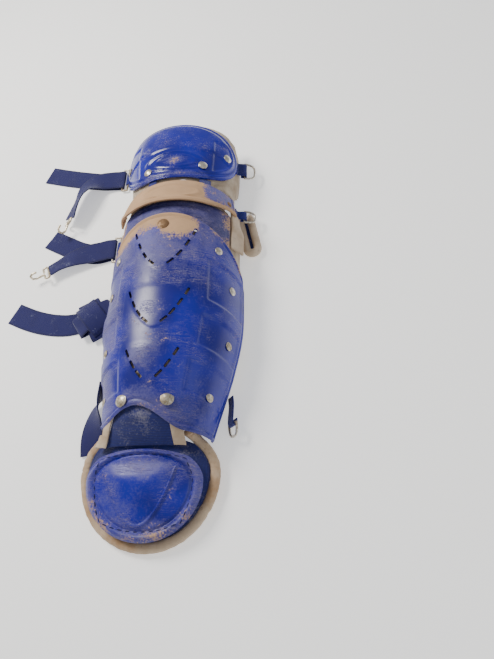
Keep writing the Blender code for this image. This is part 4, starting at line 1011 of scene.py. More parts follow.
def rivet_heads(name, rows, lift, finish):
    """Turn the heads of some rivets as one piece. lift(y, turn) is the height of the shell's face."""
    shape = bmesh.new()
    for row in rows:
        y = along(row.zone, row.share)
        point, normal = leg_frame(y, row.turn)
        line = [shape.verts.new((row.radius * out, 0.0, row.radius * rise)) for out, rise in HEAD_PROFILE]
        edges = [shape.edges.new(pair) for pair in zip(line, line[1:])]
        bmesh.ops.spin(shape, geom=line + edges, cent=(0, 0, 0), axis=(0, 0, 1), angle=math.tau, steps=28,
                       use_merge=True)
        loose = [v for v in shape.verts if not v.tag]
        seat = Matrix.Translation(point + normal * (lift(y, row.turn) + 0.0002)) @ normal.to_track_quat(
            "Z", "Y").to_matrix().to_4x4()
        bmesh.ops.transform(shape, matrix=seat, verts=loose)
        for vertex in shape.verts:
            vertex.tag = True
    bmesh.ops.remove_doubles(shape, verts=shape.verts[:], dist=0.00002)
    bmesh.ops.recalc_face_normals(shape, faces=shape.faces[:])
    return new_piece(name, shape, finish, [row.node for row in rows], smooth_angle=50)


top_rivet = [row for row in RIVETS if row.node == "shin_rivet_top"]
shin_rivets = [row for row in RIVETS if row.zone == "shin" and row not in top_rivet]
rivet_heads("shin_rivet_heads", shin_rivets, shin_relief, rivet_finish)
rivet_heads("top_rivet_head", top_rivet, shin_relief, dusty_rivet_finish)
rivet_heads("cup_rivet_heads", [row for row in RIVETS if row.zone == "knee"], cup_lift, dusty_rivet_finish)
rivet_heads("cap_rivet_heads", [row for row in RIVETS if row.zone == "thigh"], cap_lift, nickel_finish)
print("rivets", len(RIVETS))

# %% [markdown]
# ## Padding
# The lining of shin, knee and thigh is foam in a cloth cover. A closed shell a little smaller than
# the real pad is remeshed to even squares and blown up by a few frames of cloth simulation, so
# its faces crown and its edges roll. Then each point is held to the room that the shells leave,
# and the sewn channels of the inside are pressed in.
# %% Puffing a pad
def closed_pad(columns, rows, upper, lower, span, dust=None):
    """A closed pad between an upper and a lower face over one grid."""
    shape = grid_shape(columns, rows, upper, span, dust)
    top = shape.verts[:]
    places = [(index % (columns + 1) / columns, index // (columns + 1) / rows) for index in range(len(top))]
    copy = bmesh.ops.extrude_face_region(shape, geom=shape.faces[:], use_keep_orig=True)
    under = [item for item in copy["geom"] if isinstance(item, bmesh.types.BMVert)]
    place_of = {tuple(round(c, 6) for c in vertex.co): place for vertex, place in zip(top, places)}
    for vertex in under:
        vertex.co = lower(*place_of[tuple(round(c, 6) for c in vertex.co)])
    bmesh.ops.recalc_face_normals(shape, faces=shape.faces[:])
    return shape


def puff(piece, voxel, reach, pressure=4.0):
    """Remesh a closed pad, swell it with cloth, and keep each point within reach of its start."""
    remesh = piece.modifiers.new("even", "REMESH")
    remesh.mode, remesh.voxel_size = "VOXEL", voxel
    settle_modifiers(piece, 180)
    start = [vertex.co.copy() for vertex in piece.data.vertices]
    cloth = piece.modifiers.new("cloth", "CLOTH")
    cloth.settings.use_pressure, cloth.settings.uniform_pressure_force = True, pressure
    cloth.settings.quality, cloth.settings.mass = 4, 0.3
    cloth.settings.effector_weights.gravity = 0.0
    cloth.point_cache.frame_start, cloth.point_cache.frame_end = 1, 20
    for frame_number in range(1, 21):
        bpy.context.scene.frame_set(frame_number)
    settle_modifiers(piece, 180)
    bpy.context.scene.frame_set(1)
    for vertex, origin in zip(piece.data.vertices, start):
        move = vertex.co - origin
        if move.length > reach:
            vertex.co = origin + move * (reach / move.length)
    return piece


def smooth_finish(piece, levels=1):
    """One subdivision, applied."""
    soft = piece.modifiers.new("soft", "SUBSURF")
    soft.levels = soft.render_levels = levels
    return settle_modifiers(piece, 180)


def wall_turn(u, steps):
    """Turn of a pad's column: even steps over the arch and one step down each side wall."""
    column = u * (steps + 2) - 1
    if column < 0:
        return -1.0 + column
    if column > steps:
        return 1.0 + (column - steps)
    return -1.0 + 2.0 * column / steps


print("pad helpers ready")

# %% Leg pads
PAD_TUCK, PAD_SEAM_GAP = 0.012, 0.0022
SHRINK = 0.0011


def pad_seam(turn):
    return shin_top_edge(max(-1.0, min(1.0, turn))) - PAD_TUCK


def thigh_pad_edge(side):
    low, high = along("knee", 0.93) + GAP, along("thigh", 1.0) + 0.013

    def edge(turn):
        return mix(low, high, 0.5) + side * 0.5 * (high - low) * (1.0 - abs(turn / 2.15) ** 3.0) ** 0.5
    return edge


def leg_pad(name, rows, lower, upper, lift, node, reach, rolled):
    """A swollen pad bent over the leg. rolled is how wide the bulging rim along its edges is."""
    def face(depth):
        def place(u, v):
            turn = wall_turn(u, 30)
            turn = max(-1.94, min(1.94, turn))
            low, high = lower(turn) + SHRINK, upper(turn) - SHRINK
            return leg_point(mix(low, high, v), turn, depth)
        return place

    shape = closed_pad(32, rows, face(lift - SHRINK), face(PAD_LIFT - PAD_WALL + SHRINK), (0.4, 0.15))
    pad = new_piece(name, shape, [pad_finish, lining_finish], [node], 180)
    puff(pad, 0.0045, reach)
    for vertex in pad.data.vertices:
        point = vertex.co - PLACE
        turn, rise = leg_place(point)
        low, high = lower(turn), upper(turn)
        edge = min(point.y - low, high - point.y)
        crease = 0.0012 * bump(0.0, 0.006, edge - rolled) if rise > lift - 0.004 else 0.0
        channel = 0.0
        if rise < lift - 0.006:
            channel = 0.0013 * bump(0.0, 0.0035,
                                    (point.x - leg_section(point.y)[2] + 0.016) % 0.032 - 0.016)
        wrinkle = 0.0007 * noise.noise(Vector((turn * 26.0, point.y * 55.0,
                                               0.0))) * (1.0 - ease(0.0, 0.02, edge))
        goal = max(PAD_LIFT - PAD_WALL - 0.0012, min(lift, rise - crease + wrinkle)) + channel
        vertex.co += leg_frame(point.y, turn)[1] * (goal - rise)
        vertex.co.z = max(0.0, vertex.co.z)
    smooth_finish(pad)
    for polygon in pad.data.polygons:
        turn, rise = leg_place(polygon.center - PLACE)
        inward = leg_frame(polygon.center.y - PLACE.y, turn)[1].dot(polygon.normal) < -0.55
        polygon.material_index = 1 if inward else 0
    return pad


shin_pad = leg_pad("shin_padding", 40, lambda turn: along("shin", 0.118), pad_seam, PAD_LIFT, "shin_pad",
                   0.002, 0.012)
def knee_pad_top(turn):
    """Upper edge of the knee pad: it drops towards the sides, so that the gap below the cap is open."""
    return along("knee", 0.93) - 0.030 * ease(0.42, 0.80, abs(turn))


knee_pad = leg_pad("knee_padding", 26, lambda turn: pad_seam(turn) + PAD_SEAM_GAP, knee_pad_top,
                   LOW_PAD_LIFT, "knee_pad", 0.003, 0.010)
thigh_pad = leg_pad("thigh_padding", 26, thigh_pad_edge(-1), thigh_pad_edge(1), LOW_PAD_LIFT, "thigh_pad",
                    0.004, 0.010)
print("pad faces", len(shin_pad.data.polygons), len(knee_pad.data.polygons), len(thigh_pad.data.polygons))

# %% [markdown]
# ## Toe pad, its rolled rim and the tongue
# Under the toe plate lies a mesh-faced pad with a cloth roll sewn round it. The roll wrinkles
# where the thread pulls it in, so its thickness changes a little along the way. The tongue is the
# mesh panel between toe and shin, rubbed pale in the middle, with pale tape on both sides.
# %% Toe pad and rim
def toe_pad_top(u, v):
    point, out = shield(u, v, TOE_PAD_WIDTH, TOE_PAD_TIP, TOE_PAD_LENGTH)[:2]
    point.z = toe_height(point.x, point.y) - 0.55 * TOE_PAD_WALL * ease(0.7, 1.05, out)
    return point


def toe_pad_bottom(u, v):
    point = toe_pad_top(u, v)
    point.z = max(0.0, point.z - TOE_PAD_WALL)
    return point


toe_shape = closed_pad(60, 50, toe_pad_top, toe_pad_bottom, (TOE_PAD_WIDTH, TOE_PAD_LENGTH),
                       lambda u, v: (0.0, 0.15))
toe_pad = new_piece("toe_padding", toe_shape, mesh_finish, ["toe_pad"], 180)
round_rim = toe_pad.modifiers.new("round", "SUBSURF")
round_rim.levels = round_rim.render_levels = 1
settle_modifiers(toe_pad, 60)


def border_square(share):
    """Walk the unit square from the upper left corner over the toe to the upper right."""
    walk = share * 3.0
    if walk < 1.0:
        return 0.0, 1.0 - walk
    return (walk - 1.0, 0.0) if walk < 2.0 else (1.0, walk - 2.0)


def toe_rim_point(share):
    before, after = border_square(share - 0.01), border_square(share + 0.01)
    edge = toe_pad_top(*border_square(share))
    run = toe_pad_top(*after) - toe_pad_top(*before)
    outward = Vector((run.y, -run.x, 0.0)).normalized()
    middle = mix(edge.z, toe_pad_bottom(*border_square(share)).z, 0.5)
    spot = edge + outward * (TOE_RIM_RADIUS + LAYER_GAP)
    spot.z = max(TOE_RIM_RADIUS, middle)
    return spot, outward


def roll(name, places, across, half_width, half_height, sides, finish, nodes, wrinkle=0.0, taper=0.0):
    """A closed roll round a route: each ring is a circle, set across the run and stretched."""
    shape = bmesh.new()
    rings = []
    for index, point in enumerate(places):
        run = (places[min(index + 1, len(places) - 1)] - places[max(index - 1, 0)]).normalized()
        side = across[index]
        side = (side - side.dot(run) * run).normalized()
        thick = 1.0 - taper * (1.0 - min(1.0, min(index, len(places) - 1 - index) / 6.0)) ** 2
        turned = Matrix((side, run.cross(side), run)).transposed().to_4x4()
        ring = bmesh.ops.create_circle(shape, segments=sides, radius=1.0,
                                       matrix=Matrix.Translation(point) @ turned
                                       @ Matrix.Diagonal((half_width * thick, half_height * thick, 1.0,
                                                          1.0)))
        verts = ring["verts"]
        for vertex in verts:
            pull = noise.noise(Vector((index * 0.55, (vertex.co - point).x * 260.0,
                                       (vertex.co - point).z * 260.0)))
            vertex.co = point + (vertex.co - point) * (1.0 + wrinkle * pull)
        rings.append(verts)
    for first, second in zip(rings, rings[1:]):
        edges = [e for ring in (first,
                                second) for v in ring for e in v.link_edges if e.other_vert(v) in ring]
        bmesh.ops.bridge_loops(shape, edges=list(set(edges)))
    for ring in (rings[0], rings[-1]):
        bmesh.ops.contextual_create(shape, geom=ring)
    bmesh.ops.recalc_face_normals(shape, faces=shape.faces[:])
    return new_piece(name, shape, finish, nodes, 60)


rim_places, rim_across = [], []
for step in range(151):
    share = mix(0.012, 0.988, step / 150)
    spot, outward = toe_rim_point(share)
    unevenness = noise.noise(Vector((step * 0.21, 3.0, 0.0)))
    inward_pull = 0.0018 * (0.5 + 0.5 * math.sin(step * 1.25)) * unevenness
    rim_places.append(spot - outward * (0.0012 + inward_pull) + Vector((0, 0, 0.0010)))
    rim_across.append(outward + Vector((0, 0, -0.45)))
TONGUE_LOW, TONGUE_HIGH = TOE_PAD_TIP + TOE_PLATE_LENGTH + 0.002, along("shin", 0.118) - GAP


def rim_end(side, first, second):
    """The rim's end bends inward and rises to the tape beside the tongue."""
    y = mix(TONGUE_LOW, TONGUE_HIGH, 0.34)
    goal = Vector((0.042 if side > 0 else -0.063, y,
                   toe_height(0.0, TONGUE_LOW) + (0.006 if side > 0 else 0.002)))
    control = first + (first - second).normalized() * 0.55 * (goal - first).length
    shares = (0.14, 0.28, 0.42, 0.56, 0.70, 0.84, 0.98)
    return [first.lerp(control, t).lerp(control.lerp(goal, t), t) for t in shares]


left_end = rim_end(-1, rim_places[0], rim_places[4])
right_end = rim_end(1, rim_places[-1], rim_places[-5])
rim_places = left_end[::-1] + rim_places + right_end
rim_across = [rim_across[0]] * len(left_end) + rim_across + [rim_across[-1]] * len(right_end)
toe_rim = roll("toe_roll", rim_places, rim_across, 0.0068, 0.0056, 16, rim_finish,
               ["toe_rim"], wrinkle=0.16)
smooth_finish(toe_rim)
print("toe pieces", len(toe_pad.data.polygons), len(toe_rim.data.polygons))

# %% Tongue and its tapes
TONGUE_LOW, TONGUE_HIGH = TOE_PAD_TIP + TOE_PLATE_LENGTH + 0.002, along("shin", 0.118) - GAP
TONGUE_MIDDLE, TONGUE_WALL = -0.016, 0.005


def tongue_height(x, y):
    share = (y - TONGUE_LOW) / (TONGUE_HIGH - TONGUE_LOW)
    start = toe_height(x, TONGUE_LOW) + LAYER_GAP + TONGUE_WALL
    end = leg_height(x, TONGUE_HIGH, PAD_LIFT)
    climb = mix(start, end, math.sin(math.pi / 2 * max(0.0, min(1.0, share * 1.05))))
    return min(climb, leg_height(x, y, PAD_LIFT)) if y > TOE_REACH else climb


def tongue_edge(side, share):
    reach = 0.150 * (mix(0.31, 0.17, share) if side < 0 else mix(0.265, 0.26, share))
    return TONGUE_MIDDLE + side * reach


def tongue_place(u, v):
    x, y = mix(tongue_edge(-1, v) - 0.0015, tongue_edge(1, v) + 0.0015, u), mix(TONGUE_LOW, TONGUE_HIGH, v)
    puff_up = 0.0010 * math.sin(math.pi * u) * math.sin(math.pi * v) - 0.0012
    crease = 0.0009 * noise.noise(Vector((x * 55.0, y * 120.0, 1.0)))
    return Vector((x, y, tongue_height(x, y) + puff_up + crease))


def tongue_dust(u, v):
    return 0.0, 0.46 * bump(0.55, 0.30, u) * bump(0.50, 0.32, v)


tongue_shape = grid_shape(70, 34, tongue_place, (0.085, TONGUE_HIGH - TONGUE_LOW), tongue_dust)
tongue = thick_sheet("tongue_panel", tongue_shape, TONGUE_WALL - 0.001, mesh_finish,
                     ["instep_tongue"],
                     round_edge=0.001, lean=-1.0)
for side, node in ((-1, "tongue_binding_left"), (1, "tongue_binding_right")):
    def tape_place(u, v, side=side):
        share = v * 0.72
        inner = tongue_edge(side, share) + side * GAP * 2
        x, y = inner + side * 0.0155 * u, mix(TONGUE_LOW, TONGUE_HIGH, share)
        crown = 0.0016 * math.sin(math.pi * min(1.0, max(0.0, u))) ** 0.6 - 0.0004
        return Vector((x, y, tongue_height(x, y) + crown))
    tape_shape = grid_shape(10, 30, tape_place, (0.0155, 0.05), lambda u, v: (0.12, 0.1))
    tape = thick_sheet(node.replace("binding", "tape"), tape_shape, 0.003, binding_finish,
                       [node],
                       round_edge=0.0012, lean=-1.0)
print("tongue done")

# %% [markdown]
# ## Side pieces at the knee
# Two cloth flaps come out from under the knee band, and a folded wing of pale padding with a dark
# opening stands on the right. The wing is one U-shaped roll round a blue lining.
# %% Flaps and wing
FLAP_WALL, FLAP_FLARE = 0.0048, 0.006
BAND_EDGE = 0.71


def flap_piece(name, side, length, node):
    low = along("knee", -0.40)

    def place(u, v):
        turn = BAND_EDGE + mix(0.015, 0.20, u)
        flare = FLAP_FLARE * ease(0.71, 0.91, turn) * (1.0 - ease(0.45, 0.85, v))
        crease = 0.0006 * noise.noise(Vector((u * 5.0, v * 9.0, side * 4.0)))
        return leg_point(mix(low, low + length, v), side * turn,
                         LOW_PAD_LIFT + FLAP_WALL + LAYER_GAP + flare - 0.0004
                         + crease)
    shape = grid_shape(12, 30, place, (0.03, length), lambda u, v: (0.1, 0.2))
    flap = thick_sheet(name, shape, FLAP_WALL - 0.0006, binding_finish, [node],
                       round_edge=0.0016,
                       lean=-float(side))
    return flap


flap_piece("left_knee_flap", -1, 0.043, "knee_flap_left")
flap_piece("right_knee_flap", 1, 0.068, "knee_flap_right")

wing_wall = leg_point(along("knee", 0.35), 1, LOW_PAD_LIFT)
wing_spot = Vector((wing_wall.x + 0.0138, wing_wall.y, 0.0))
WING_LENGTH, WING_WIDTH, WING_ANGLE = 0.086, 0.030, math.radians(12)
wing_turn = Matrix.Rotation(WING_ANGLE, 4, "Z")
wing_places, wing_across = [], []
half_w, half_l, roll_r = WING_WIDTH / 2 - 0.0065, WING_LENGTH / 2 - 0.0065, 0.0062
for step in range(97):
    share = step / 96
    if share < 0.40:
        flat = Vector((-half_w, mix(half_l, -half_l + half_w, share / 0.40), 0.0))
    elif share < 0.60:
        angle = math.pi * (share - 0.40) / 0.20
        flat = Vector((-half_w * math.cos(angle), -half_l + half_w - half_w * math.sin(angle), 0.0))
    else:
        flat = Vector((half_w, mix(-half_l + half_w, half_l, (share - 0.60) / 0.40), 0.0))
    wing_places.append(wing_spot + wing_turn @ flat + Vector((0.0, 0.0, 0.0085)))
    wing_across.append(Vector((1.0, 0.0, 0.0)) if share < 0.4 or share > 0.6 else
                       wing_turn @ Vector((math.cos(math.pi * (share - 0.4) / 0.2),
                                           math.sin(math.pi * (share - 0.4) / 0.2),
                                           0.0)))
wing_roll = roll("wing_roll", wing_places, wing_across, roll_r, 0.0072, 18, binding_finish,
                 ["knee_wing"],
                 wrinkle=0.07, taper=0.4)
smooth_finish(wing_roll)


def wing_floor(u, v):
    flat = Vector((mix(-half_w, half_w, u), mix(-half_l + 0.004, half_l - 0.002, v), 0.0))
    return wing_spot + wing_turn @ flat + Vector((0.0, 0.0, 0.0055 + 0.002 * abs(2 * u - 1.0)))


thick_sheet("wing_lining", grid_shape(10, 30, wing_floor, (0.02, 0.08)), 0.003, lining_finish,
            [], round_edge=0.0, lean=-1.0)
print("wing done")

# %% [markdown]
# ## Straps and webbing
# Each band is modelled along its route, woven lengthwise in its material. The doubled straps run
# from their free end to a wire slider, round it and back to the hook, as on the real guard.
# %% Bands and wires
def smooth_route(points, step):
    """A smooth curve through every given point, evenly cut."""
    runs = [0.0]
    for first, second in zip(points, points[1:]):
        runs.append(runs[-1] + (second - first).length)
    places = [0.0]
    for start, end in zip(runs, runs[1:]):
        parts = max(1, round((end - start) / step))
        places += [mix(start, end, part / parts) for part in range(1, parts + 1)]
    route = [Vector([smooth_curve(runs, [p[axis] for p in points],
                                  place) for axis in range(3)]) for place in places]
    return route, places, runs


def ribbon(name, points, across, width, wall, finish, nodes, rolls=None, shares=None, step=0.003,
           dust=None):
    """A woven band along a route, with a softly rounded edge and a little unevenness."""
    route, places, runs = smooth_route(points, step)
    rolls, shares = rolls or [0.0] * len(points), shares or [1.0] * len(points)
    last = len(route) - 1
    sides, ups, side = [], [], Vector(across)
    for index in range(last + 1):
        run = (route[min(index + 1, last)] - route[max(index - 1, 0)]).normalized()
        side = (side - side.dot(run) * run).normalized()
        turned = Matrix.Rotation(math.radians(smooth_curve(runs, rolls, places[index])), 3, run) @ side
        sides.append(turned * 0.5 * width * smooth_curve(runs, shares, places[index]))
        ups.append(run.cross(turned))

    def place(u, v):
        index = round(v * last)
        wave = 0.00035 * noise.noise(Vector((u * 3.0, places[index] * 60.0, len(name) * 1.7)))
        return route[index] + sides[index] * (2 * u - 1) + ups[index] * wave

    shape = grid_shape(10, last, place, (width, places[-1]), dust or (lambda u, v: (0.0, 0.02)))
    return thick_sheet(name, shape, wall, finish, nodes, round_edge=0.0004, lean=0.0), places[-1]


def wire(name, points, radius, finish, nodes, cyclic=False):
    """A round wire through the given corners, each corner rounded by the curve."""
    curve = bpy.data.curves.new(name, "CURVE")
    curve.dimensions, curve.bevel_depth, curve.bevel_resolution, curve.use_fill_caps = "3D", radius, 5, True
    spline = curve.splines.new("NURBS")
    spline.points.add(len(points) - 1)
    for target, point in zip(spline.points, points):
        target.co = (*point, 1.0)
    spline.order_u, spline.resolution_u = 3, 8
    spline.use_cyclic_u, spline.use_endpoint_u = cyclic, not cyclic
    holder = bpy.data.objects.new(name, curve)
    bpy.context.scene.collection.objects.link(holder)
    graph = bpy.context.evaluated_depsgraph_get()
    mesh = bpy.data.meshes.new_from_object(holder.evaluated_get(graph))
    bpy.data.objects.remove(holder)
    shape = bmesh.new()
    shape.from_mesh(mesh)
    bpy.data.meshes.remove(mesh)
    return new_piece(name, shape, finish, nodes, 60)


def wrap_radius(wall):
    return WIRE_RADIUS + 2 * GAP + wall / 2


BAR_HEIGHT = wrap_radius(STRAP_WALL) + STRAP_WALL / 2 + 2 * GAP
RING_DEPTH, SLIDER_DEPTH = 0.017, 0.0095


def bar_wrap(bar, inward, up, radius, back):
    return [bar + (inward + up) * radius, bar + up * radius, bar + (up - inward) * radius * 0.707,
            bar - inward * radius,
            bar - (up + inward) * radius * 0.707, bar - up * radius, bar + (inward - up) * radius,
            bar + inward * back - up * radius]


def tab(name, node, roots, bar, along_bar, outward, width):
    """A short webbing loop from its sewn root round a bar."""
    up = outward.cross(along_bar)
    up = up if up.z > 0 else -up
    points = roots + bar_wrap(bar, -outward, up, wrap_radius(WEB_WALL), 0.006)
    piece, length = ribbon(name, points, along_bar, width, WEB_WALL, web_finish, [node],
                           step=0.0022)
    return piece


def d_ring(name, node, bar, along_bar, outward, length):
    half = length / 2
    points = [bar - along_bar * half, bar + along_bar * half]
    for step in range(1, 8):
        angle = math.pi * step / 8
        bow = outward * RING_DEPTH * math.sin(angle) ** 0.8
        beside = math.copysign(abs(math.cos(angle)) ** 0.6, math.cos(angle))
        points.append(bar + along_bar * half * beside + bow)
    doubled = []
    for first, second in zip(points, points[1:] + points[:1]):
        doubled += [first, mix(first, second, 0.25), mix(first, second, 0.75)]
    return wire(name, doubled, WIRE_RADIUS, nickel_finish, [node], cyclic=True)


def slider(name, node, bar, outward, along_bar, length):
    corners = []
    for out, beside in ((0, -1), (0, 1), (1, 1), (1, -1)):
        corners.append(bar + outward * SLIDER_DEPTH * out + along_bar * (length / 2) * beside)
    doubled = []
    for first, second in zip(corners, corners[1:] + corners[:1]):
        doubled += [mix(first, second, 0.03), mix(first, second, 0.15), mix(first, second, 0.85),
                    mix(first, second, 0.97)]
    return wire(name, doubled, WIRE_RADIUS, nickel_finish, [node], cyclic=True)


HOOK_LINE = [(0.008, 0.0035, 0.0), (0.008, 0.012, 0.0), (0.006, 0.014, 0.0), (0.002, 0.014, 0.0),
             (0.0, 0.012, 0.0),
             (0.0, -0.012, 0.0), (0.002, -0.014, 0.0), (0.006, -0.014, 0.0), (0.008, -0.012, 0.0),
             (0.008, -0.0035, 0.0), (0.011, -0.001, 0.0), (0.022, 0.0, 0.0), (0.0275, 0.0, 0.003),
             (0.0275, 0.0, 0.009), (0.023, 0.0, 0.0115), (0.0155, 0.0, 0.0105)]


def hook(name, node, bar, along_bar, outward, up):
    points = []
    line = [bar + outward * out + along_bar * side + up * rise for out, side, rise in HOOK_LINE]
    for first, second in zip(line, line[1:]):
        points += [first, mix(first, second, 0.3), mix(first, second, 0.7)]
    return wire(name, points + [line[-1]], WIRE_RADIUS, hook_finish, [node])


hook_finish = metal_finish("hook_finish", (226, 214, 190), (168, 150, 124), 0.34, 0.35)
print("band helpers ready")

# %% Doubled straps
THIGH_STRAP_REACH, KNEE_STRAP_REACH, CALF_STRAP_REACH, ANKLE_STRAP_REACH = 0.150, 0.120, 0.165, 0.090
THIGH_TAIL = [(0.24, 0.03), (0.52, 0.10), (0.76, 0.17), (1.0, 0.25)]
THIGH_BRANCH = [(0.12, 0.0, 0.004, 0, 1.0), (0.27, -0.03, 0.030, 4, 1.0), (0.39, -0.13, 0.070, 30, 1.0),
                (0.45, -0.28, 0.090, 54, 1.0), (0.49, -0.42, 0.090, 56, 0.95),
                (0.53, -0.58, 0.070, 44, 0.75)]
KNEE_TAIL = [(0.24, -0.03), (0.50, 0.04), (0.75, 0.17), (1.0, 0.31)]
KNEE_BRANCH = [(0.16, -0.02, 0.004, 0, 1.0), (0.36, -0.06, 0.015, 0, 1.0), (0.54, -0.12, 0.035, 6, 0.90),
               (0.72, -0.21, 0.040, 14, 0.72), (0.86, -0.29, 0.030, 14, 0.68)]
CALF_TAIL = [(0.0, 0.0), (0.05, 0.0), (0.20, -0.05), (0.40, -0.09), (0.60, -0.07), (0.80, -0.01),
             (1.0, 0.08)]
ANKLE_TAIL = [(0.0, 0.0, 0.236, 90), (0.06, -0.20, 0.236, 72), (0.14, -0.45, 0.160, 36),
              (0.17, -0.75, 0.080, 8),
              (0.14, -1.0, 0.045, 0)]
SIDEWAYS, UPLEG, UPRIGHT = Vector((1, 0, 0)), Vector((0, 1, 0)), Vector((0, 0, 1))


def doubled_strap(prefix, bar, tail, branch, reach):
    radius = wrap_radius(STRAP_WALL)
    points = [Vector((bar.x - out * reach, bar.y + rise * reach, STRAP_WALL / 2 + GAP))
              for out, rise in reversed(tail)]
    points += bar_wrap(bar, -SIDEWAYS, -UPRIGHT, radius, 0.009)
    rolls, shares = [0.0] * len(points), [1.0] * len(points)
    for out, rise, lift, turned, share in branch:
        points.append(Vector((bar.x - out * reach, bar.y + rise * reach, bar.z + radius + lift * reach)))
        rolls.append(turned)
        shares.append(share)
    band, length = ribbon(prefix + "_elastic", points, UPLEG, STRAP_WIDTH, STRAP_WALL, strap_finish,
                          [prefix + "_strap"], rolls, shares)
    slider(prefix + "_slider_wire", prefix + "_slider", bar, SIDEWAYS, UPLEG, STRAP_WIDTH + 0.010)
    run = (points[-1] - points[-2]).normalized()
    side = Matrix.Rotation(math.radians(rolls[-1]), 3, run) @ run.cross(UPRIGHT)
    hook(prefix + "_hook_wire", prefix + "_hook", points[-1] + run * (WIRE_RADIUS + GAP),
         side.normalized(), run,
         side.cross(run).normalized() if side.cross(run).z > 0 else run.cross(side).normalized())


thigh_y = along("thigh", 0.80)
thigh_bar = Vector((leg_point(thigh_y, -1, LOW_PAD_LIFT).x - 0.034, thigh_y, BAR_HEIGHT))
doubled_strap("thigh", thigh_bar, THIGH_TAIL, THIGH_BRANCH, THIGH_STRAP_REACH)
tab("thigh_loop_left", "thigh_tab_left", [leg_point(thigh_y, -t, WEB_LIFT + GAP) for t in (0.88, 0.96)],
    thigh_bar + SIDEWAYS * SLIDER_DEPTH, UPLEG, -SIDEWAYS, TAB_WIDTH)
knee_y = along("knee", 0.32)
knee_wall = Vector((leg_point(knee_y, -1, LOW_PAD_LIFT).x, knee_y, 0.0))
knee_bar = knee_wall + Vector((-0.033, 0.0, BAR_HEIGHT))
doubled_strap("knee", knee_bar, KNEE_TAIL, KNEE_BRANCH, KNEE_STRAP_REACH)
tab("knee_loop_left", "knee_tab_left",
    [knee_wall + Vector((-LAYER_GAP - s, 0.0, BAR_HEIGHT + 0.006)) for s in (0, 0.006)],
    knee_bar + SIDEWAYS * SLIDER_DEPTH, UPLEG, -SIDEWAYS, TAB_WIDTH)
print("doubled straps done")

# %% Right side loops and rings
def ring_loop(prefix, tab_node, ring_node, y, turns, lift, offset, outward, width):
    roots = [leg_point(y, t, lift) for t in turns]
    bar = leg_point(y, 0.92, WEB_LIFT) + Vector(offset)
    tab(prefix + "_loop_right", tab_node, roots, bar, UPLEG, outward, width)
    d_ring(prefix + "_d_ring", ring_node, bar, UPLEG, outward, width + 0.006)


slanted = Vector((0.94, 0.0, -0.34)).normalized()
ring_loop("thigh", "thigh_tab_right", "thigh_ring", along("thigh", 0.56), (0.84, 0.90), WEB_LIFT,
          (0.010, 0, -0.004),
          slanted, TAB_WIDTH)
ring_loop("wing", "wing_tab", "wing_ring", along("knee", 0.64), (0.84, 0.90), WEB_LIFT + 3 * GAP,
          (0.011, 0, -0.003), slanted, NARROW_TAB_WIDTH)
ankle_y = along("shin", 0.19)
ankle_bar_run, ankle_out = Vector((0.60, 0, 0.80)), Vector((0.10, -1, 0)).normalized()
ankle_root = leg_point(ankle_y, 1, PAD_LIFT + GAP + WEB_WALL / 2) + ankle_bar_run * NARROW_TAB_WIDTH / 2
ankle_root.z = NARROW_TAB_WIDTH * 0.85
ankle_bar = ankle_root + ankle_out * 0.036
tab("ankle_loop_right", "ankle_tab_right", [ankle_root, ankle_root + ankle_out * 0.012], ankle_bar,
    ankle_bar_run,
    ankle_out, NARROW_TAB_WIDTH)
d_ring("ankle_d_ring", "ankle_ring", ankle_bar, ankle_bar_run, ankle_out, NARROW_TAB_WIDTH + 0.007)

# %% Calf and ankle straps, links
calf_y = along("shin", 0.685)
calf_wall = Vector((leg_point(calf_y, -1, PAD_LIFT).x, calf_y, 0.0))
calf_start = calf_wall + Vector((-0.018, 0.0, STRAP_WALL / 2))
calf_points = [calf_start + Vector((-out * CALF_STRAP_REACH, rise * CALF_STRAP_REACH, 0.0)) for out,
               rise in CALF_TAIL]
calf_band, calf_length = ribbon("calf_band", calf_points, UPLEG, STRAP_WIDTH, STRAP_WALL, strap_finish,
                                ["calf_strap"])
loop_points = [calf_wall + Vector((-LAYER_GAP, 0, STRAP_WALL / 2)),
               calf_wall + Vector((-0.018 + GAP, 0, STRAP_WALL / 2))]
ribbon("calf_loop_left", loop_points, UPLEG, STRAP_WIDTH, WEB_WALL, web_finish,
       ["calf_tab_left"])
ankle_start = leg_point(along("shin", 0.26), -1, GAP + STRAP_WALL / 2)
ankle_start.z = STRAP_WALL / 2
ankle_points = [ankle_start + Vector((-out * ANKLE_STRAP_REACH, rise * ANKLE_STRAP_REACH,
                                      lift * ANKLE_STRAP_REACH))
                for out, rise, lift, turned in ANKLE_TAIL]
ankle_band, ankle_length = ribbon("ankle_band", ankle_points, SIDEWAYS, STRAP_WIDTH, STRAP_WALL,
                                  strap_finish,
                                  ["ankle_strap"], [row[3] for row in ANKLE_TAIL])

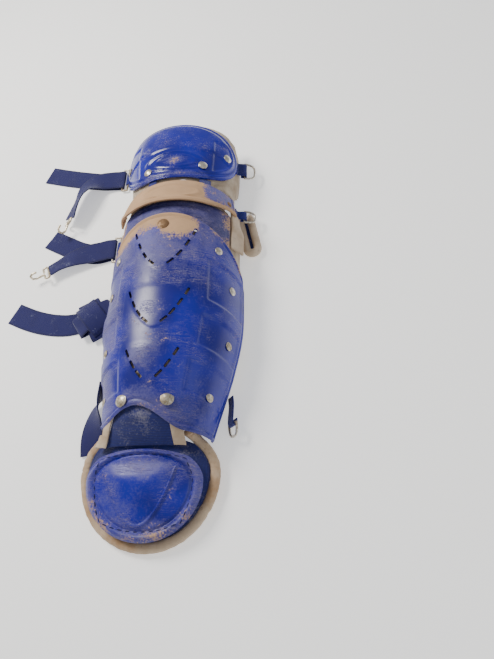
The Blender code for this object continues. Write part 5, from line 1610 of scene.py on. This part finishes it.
for side, turn, half, node in ((-1, -0.215, 0.050, "thigh_link_left"),
                               (1, 0.385, 0.068, "thigh_link_right")):
    def link_place(u, v, turn=turn, half=half):
        return leg_point(mix(along("knee", 0.82), along("thigh", 0.045), v), turn + half * (2 * u - 1),
                         WEB_LIFT + WEB_WALL / 2)
    link = thick_sheet(node.replace("thigh_", "webbing_"), grid_shape(8, 16, link_place, (0.014, 0.04)),
                       WEB_WALL,
                       web_finish, [node], round_edge=0.0003, lean=-1.0)

# %% [markdown]
# ## The knot
# The calf strap's loose end is folded over itself twice. Two flat bands cross, each with turned
# ends, over a soft core.
# %% Knot
KNOT_MIDDLE = calf_start + Vector((-0.020, -0.012, 0.0))
KNOT_LAYERS = [(math.radians(-62), 0.064, 0.0105, 0.0022), (math.radians(34), 0.060, 0.0150, 0.0030),
               (math.radians(-50), 0.052, 0.0190, 0.0034)]
knot_nodes = ["calf_knot"]
for index, (angle, length, rise, sag) in enumerate(KNOT_LAYERS):
    run = Vector((math.cos(angle), math.sin(angle), 0.0))
    across = Vector((-run.y, run.x, 0.0))
    points = []
    for step in range(9):
        share = step / 4 - 1.0
        knot_height = STRAP_WALL * 2 + rise - sag * share * share * 2.2
        points.append(KNOT_MIDDLE + run * length * 0.5 * share + Vector((0, 0, knot_height)))
    points = ([points[0] + run * 0.010 - Vector((0, 0, 0.0052)),
               points[0] - run * 0.0012 - Vector((0, 0, 0.0028))] + points
              + [points[-1] + run * 0.0012 - Vector((0, 0, 0.0028)),
                 points[-1] - run * 0.010 - Vector((0, 0, 0.0052))])
    fold, fold_length = ribbon(f"knot_fold_{index + 1}", points, across, STRAP_WIDTH * 0.92,
                               STRAP_WALL * 1.2, strap_finish,
                               knot_nodes, step=0.0024)
    knot_nodes = []
core = bmesh.new()
bmesh.ops.create_uvsphere(core, u_segments=24, v_segments=14, radius=1.0)
bmesh.ops.transform(core, verts=core.verts[:],
                    matrix=Matrix.Translation(KNOT_MIDDLE + Vector((0, 0, 0.0105)))
                    @ Matrix.Diagonal((0.019, 0.022, 0.0085, 1.0)))
new_piece("knot_core", core, strap_finish)
print("knot done")
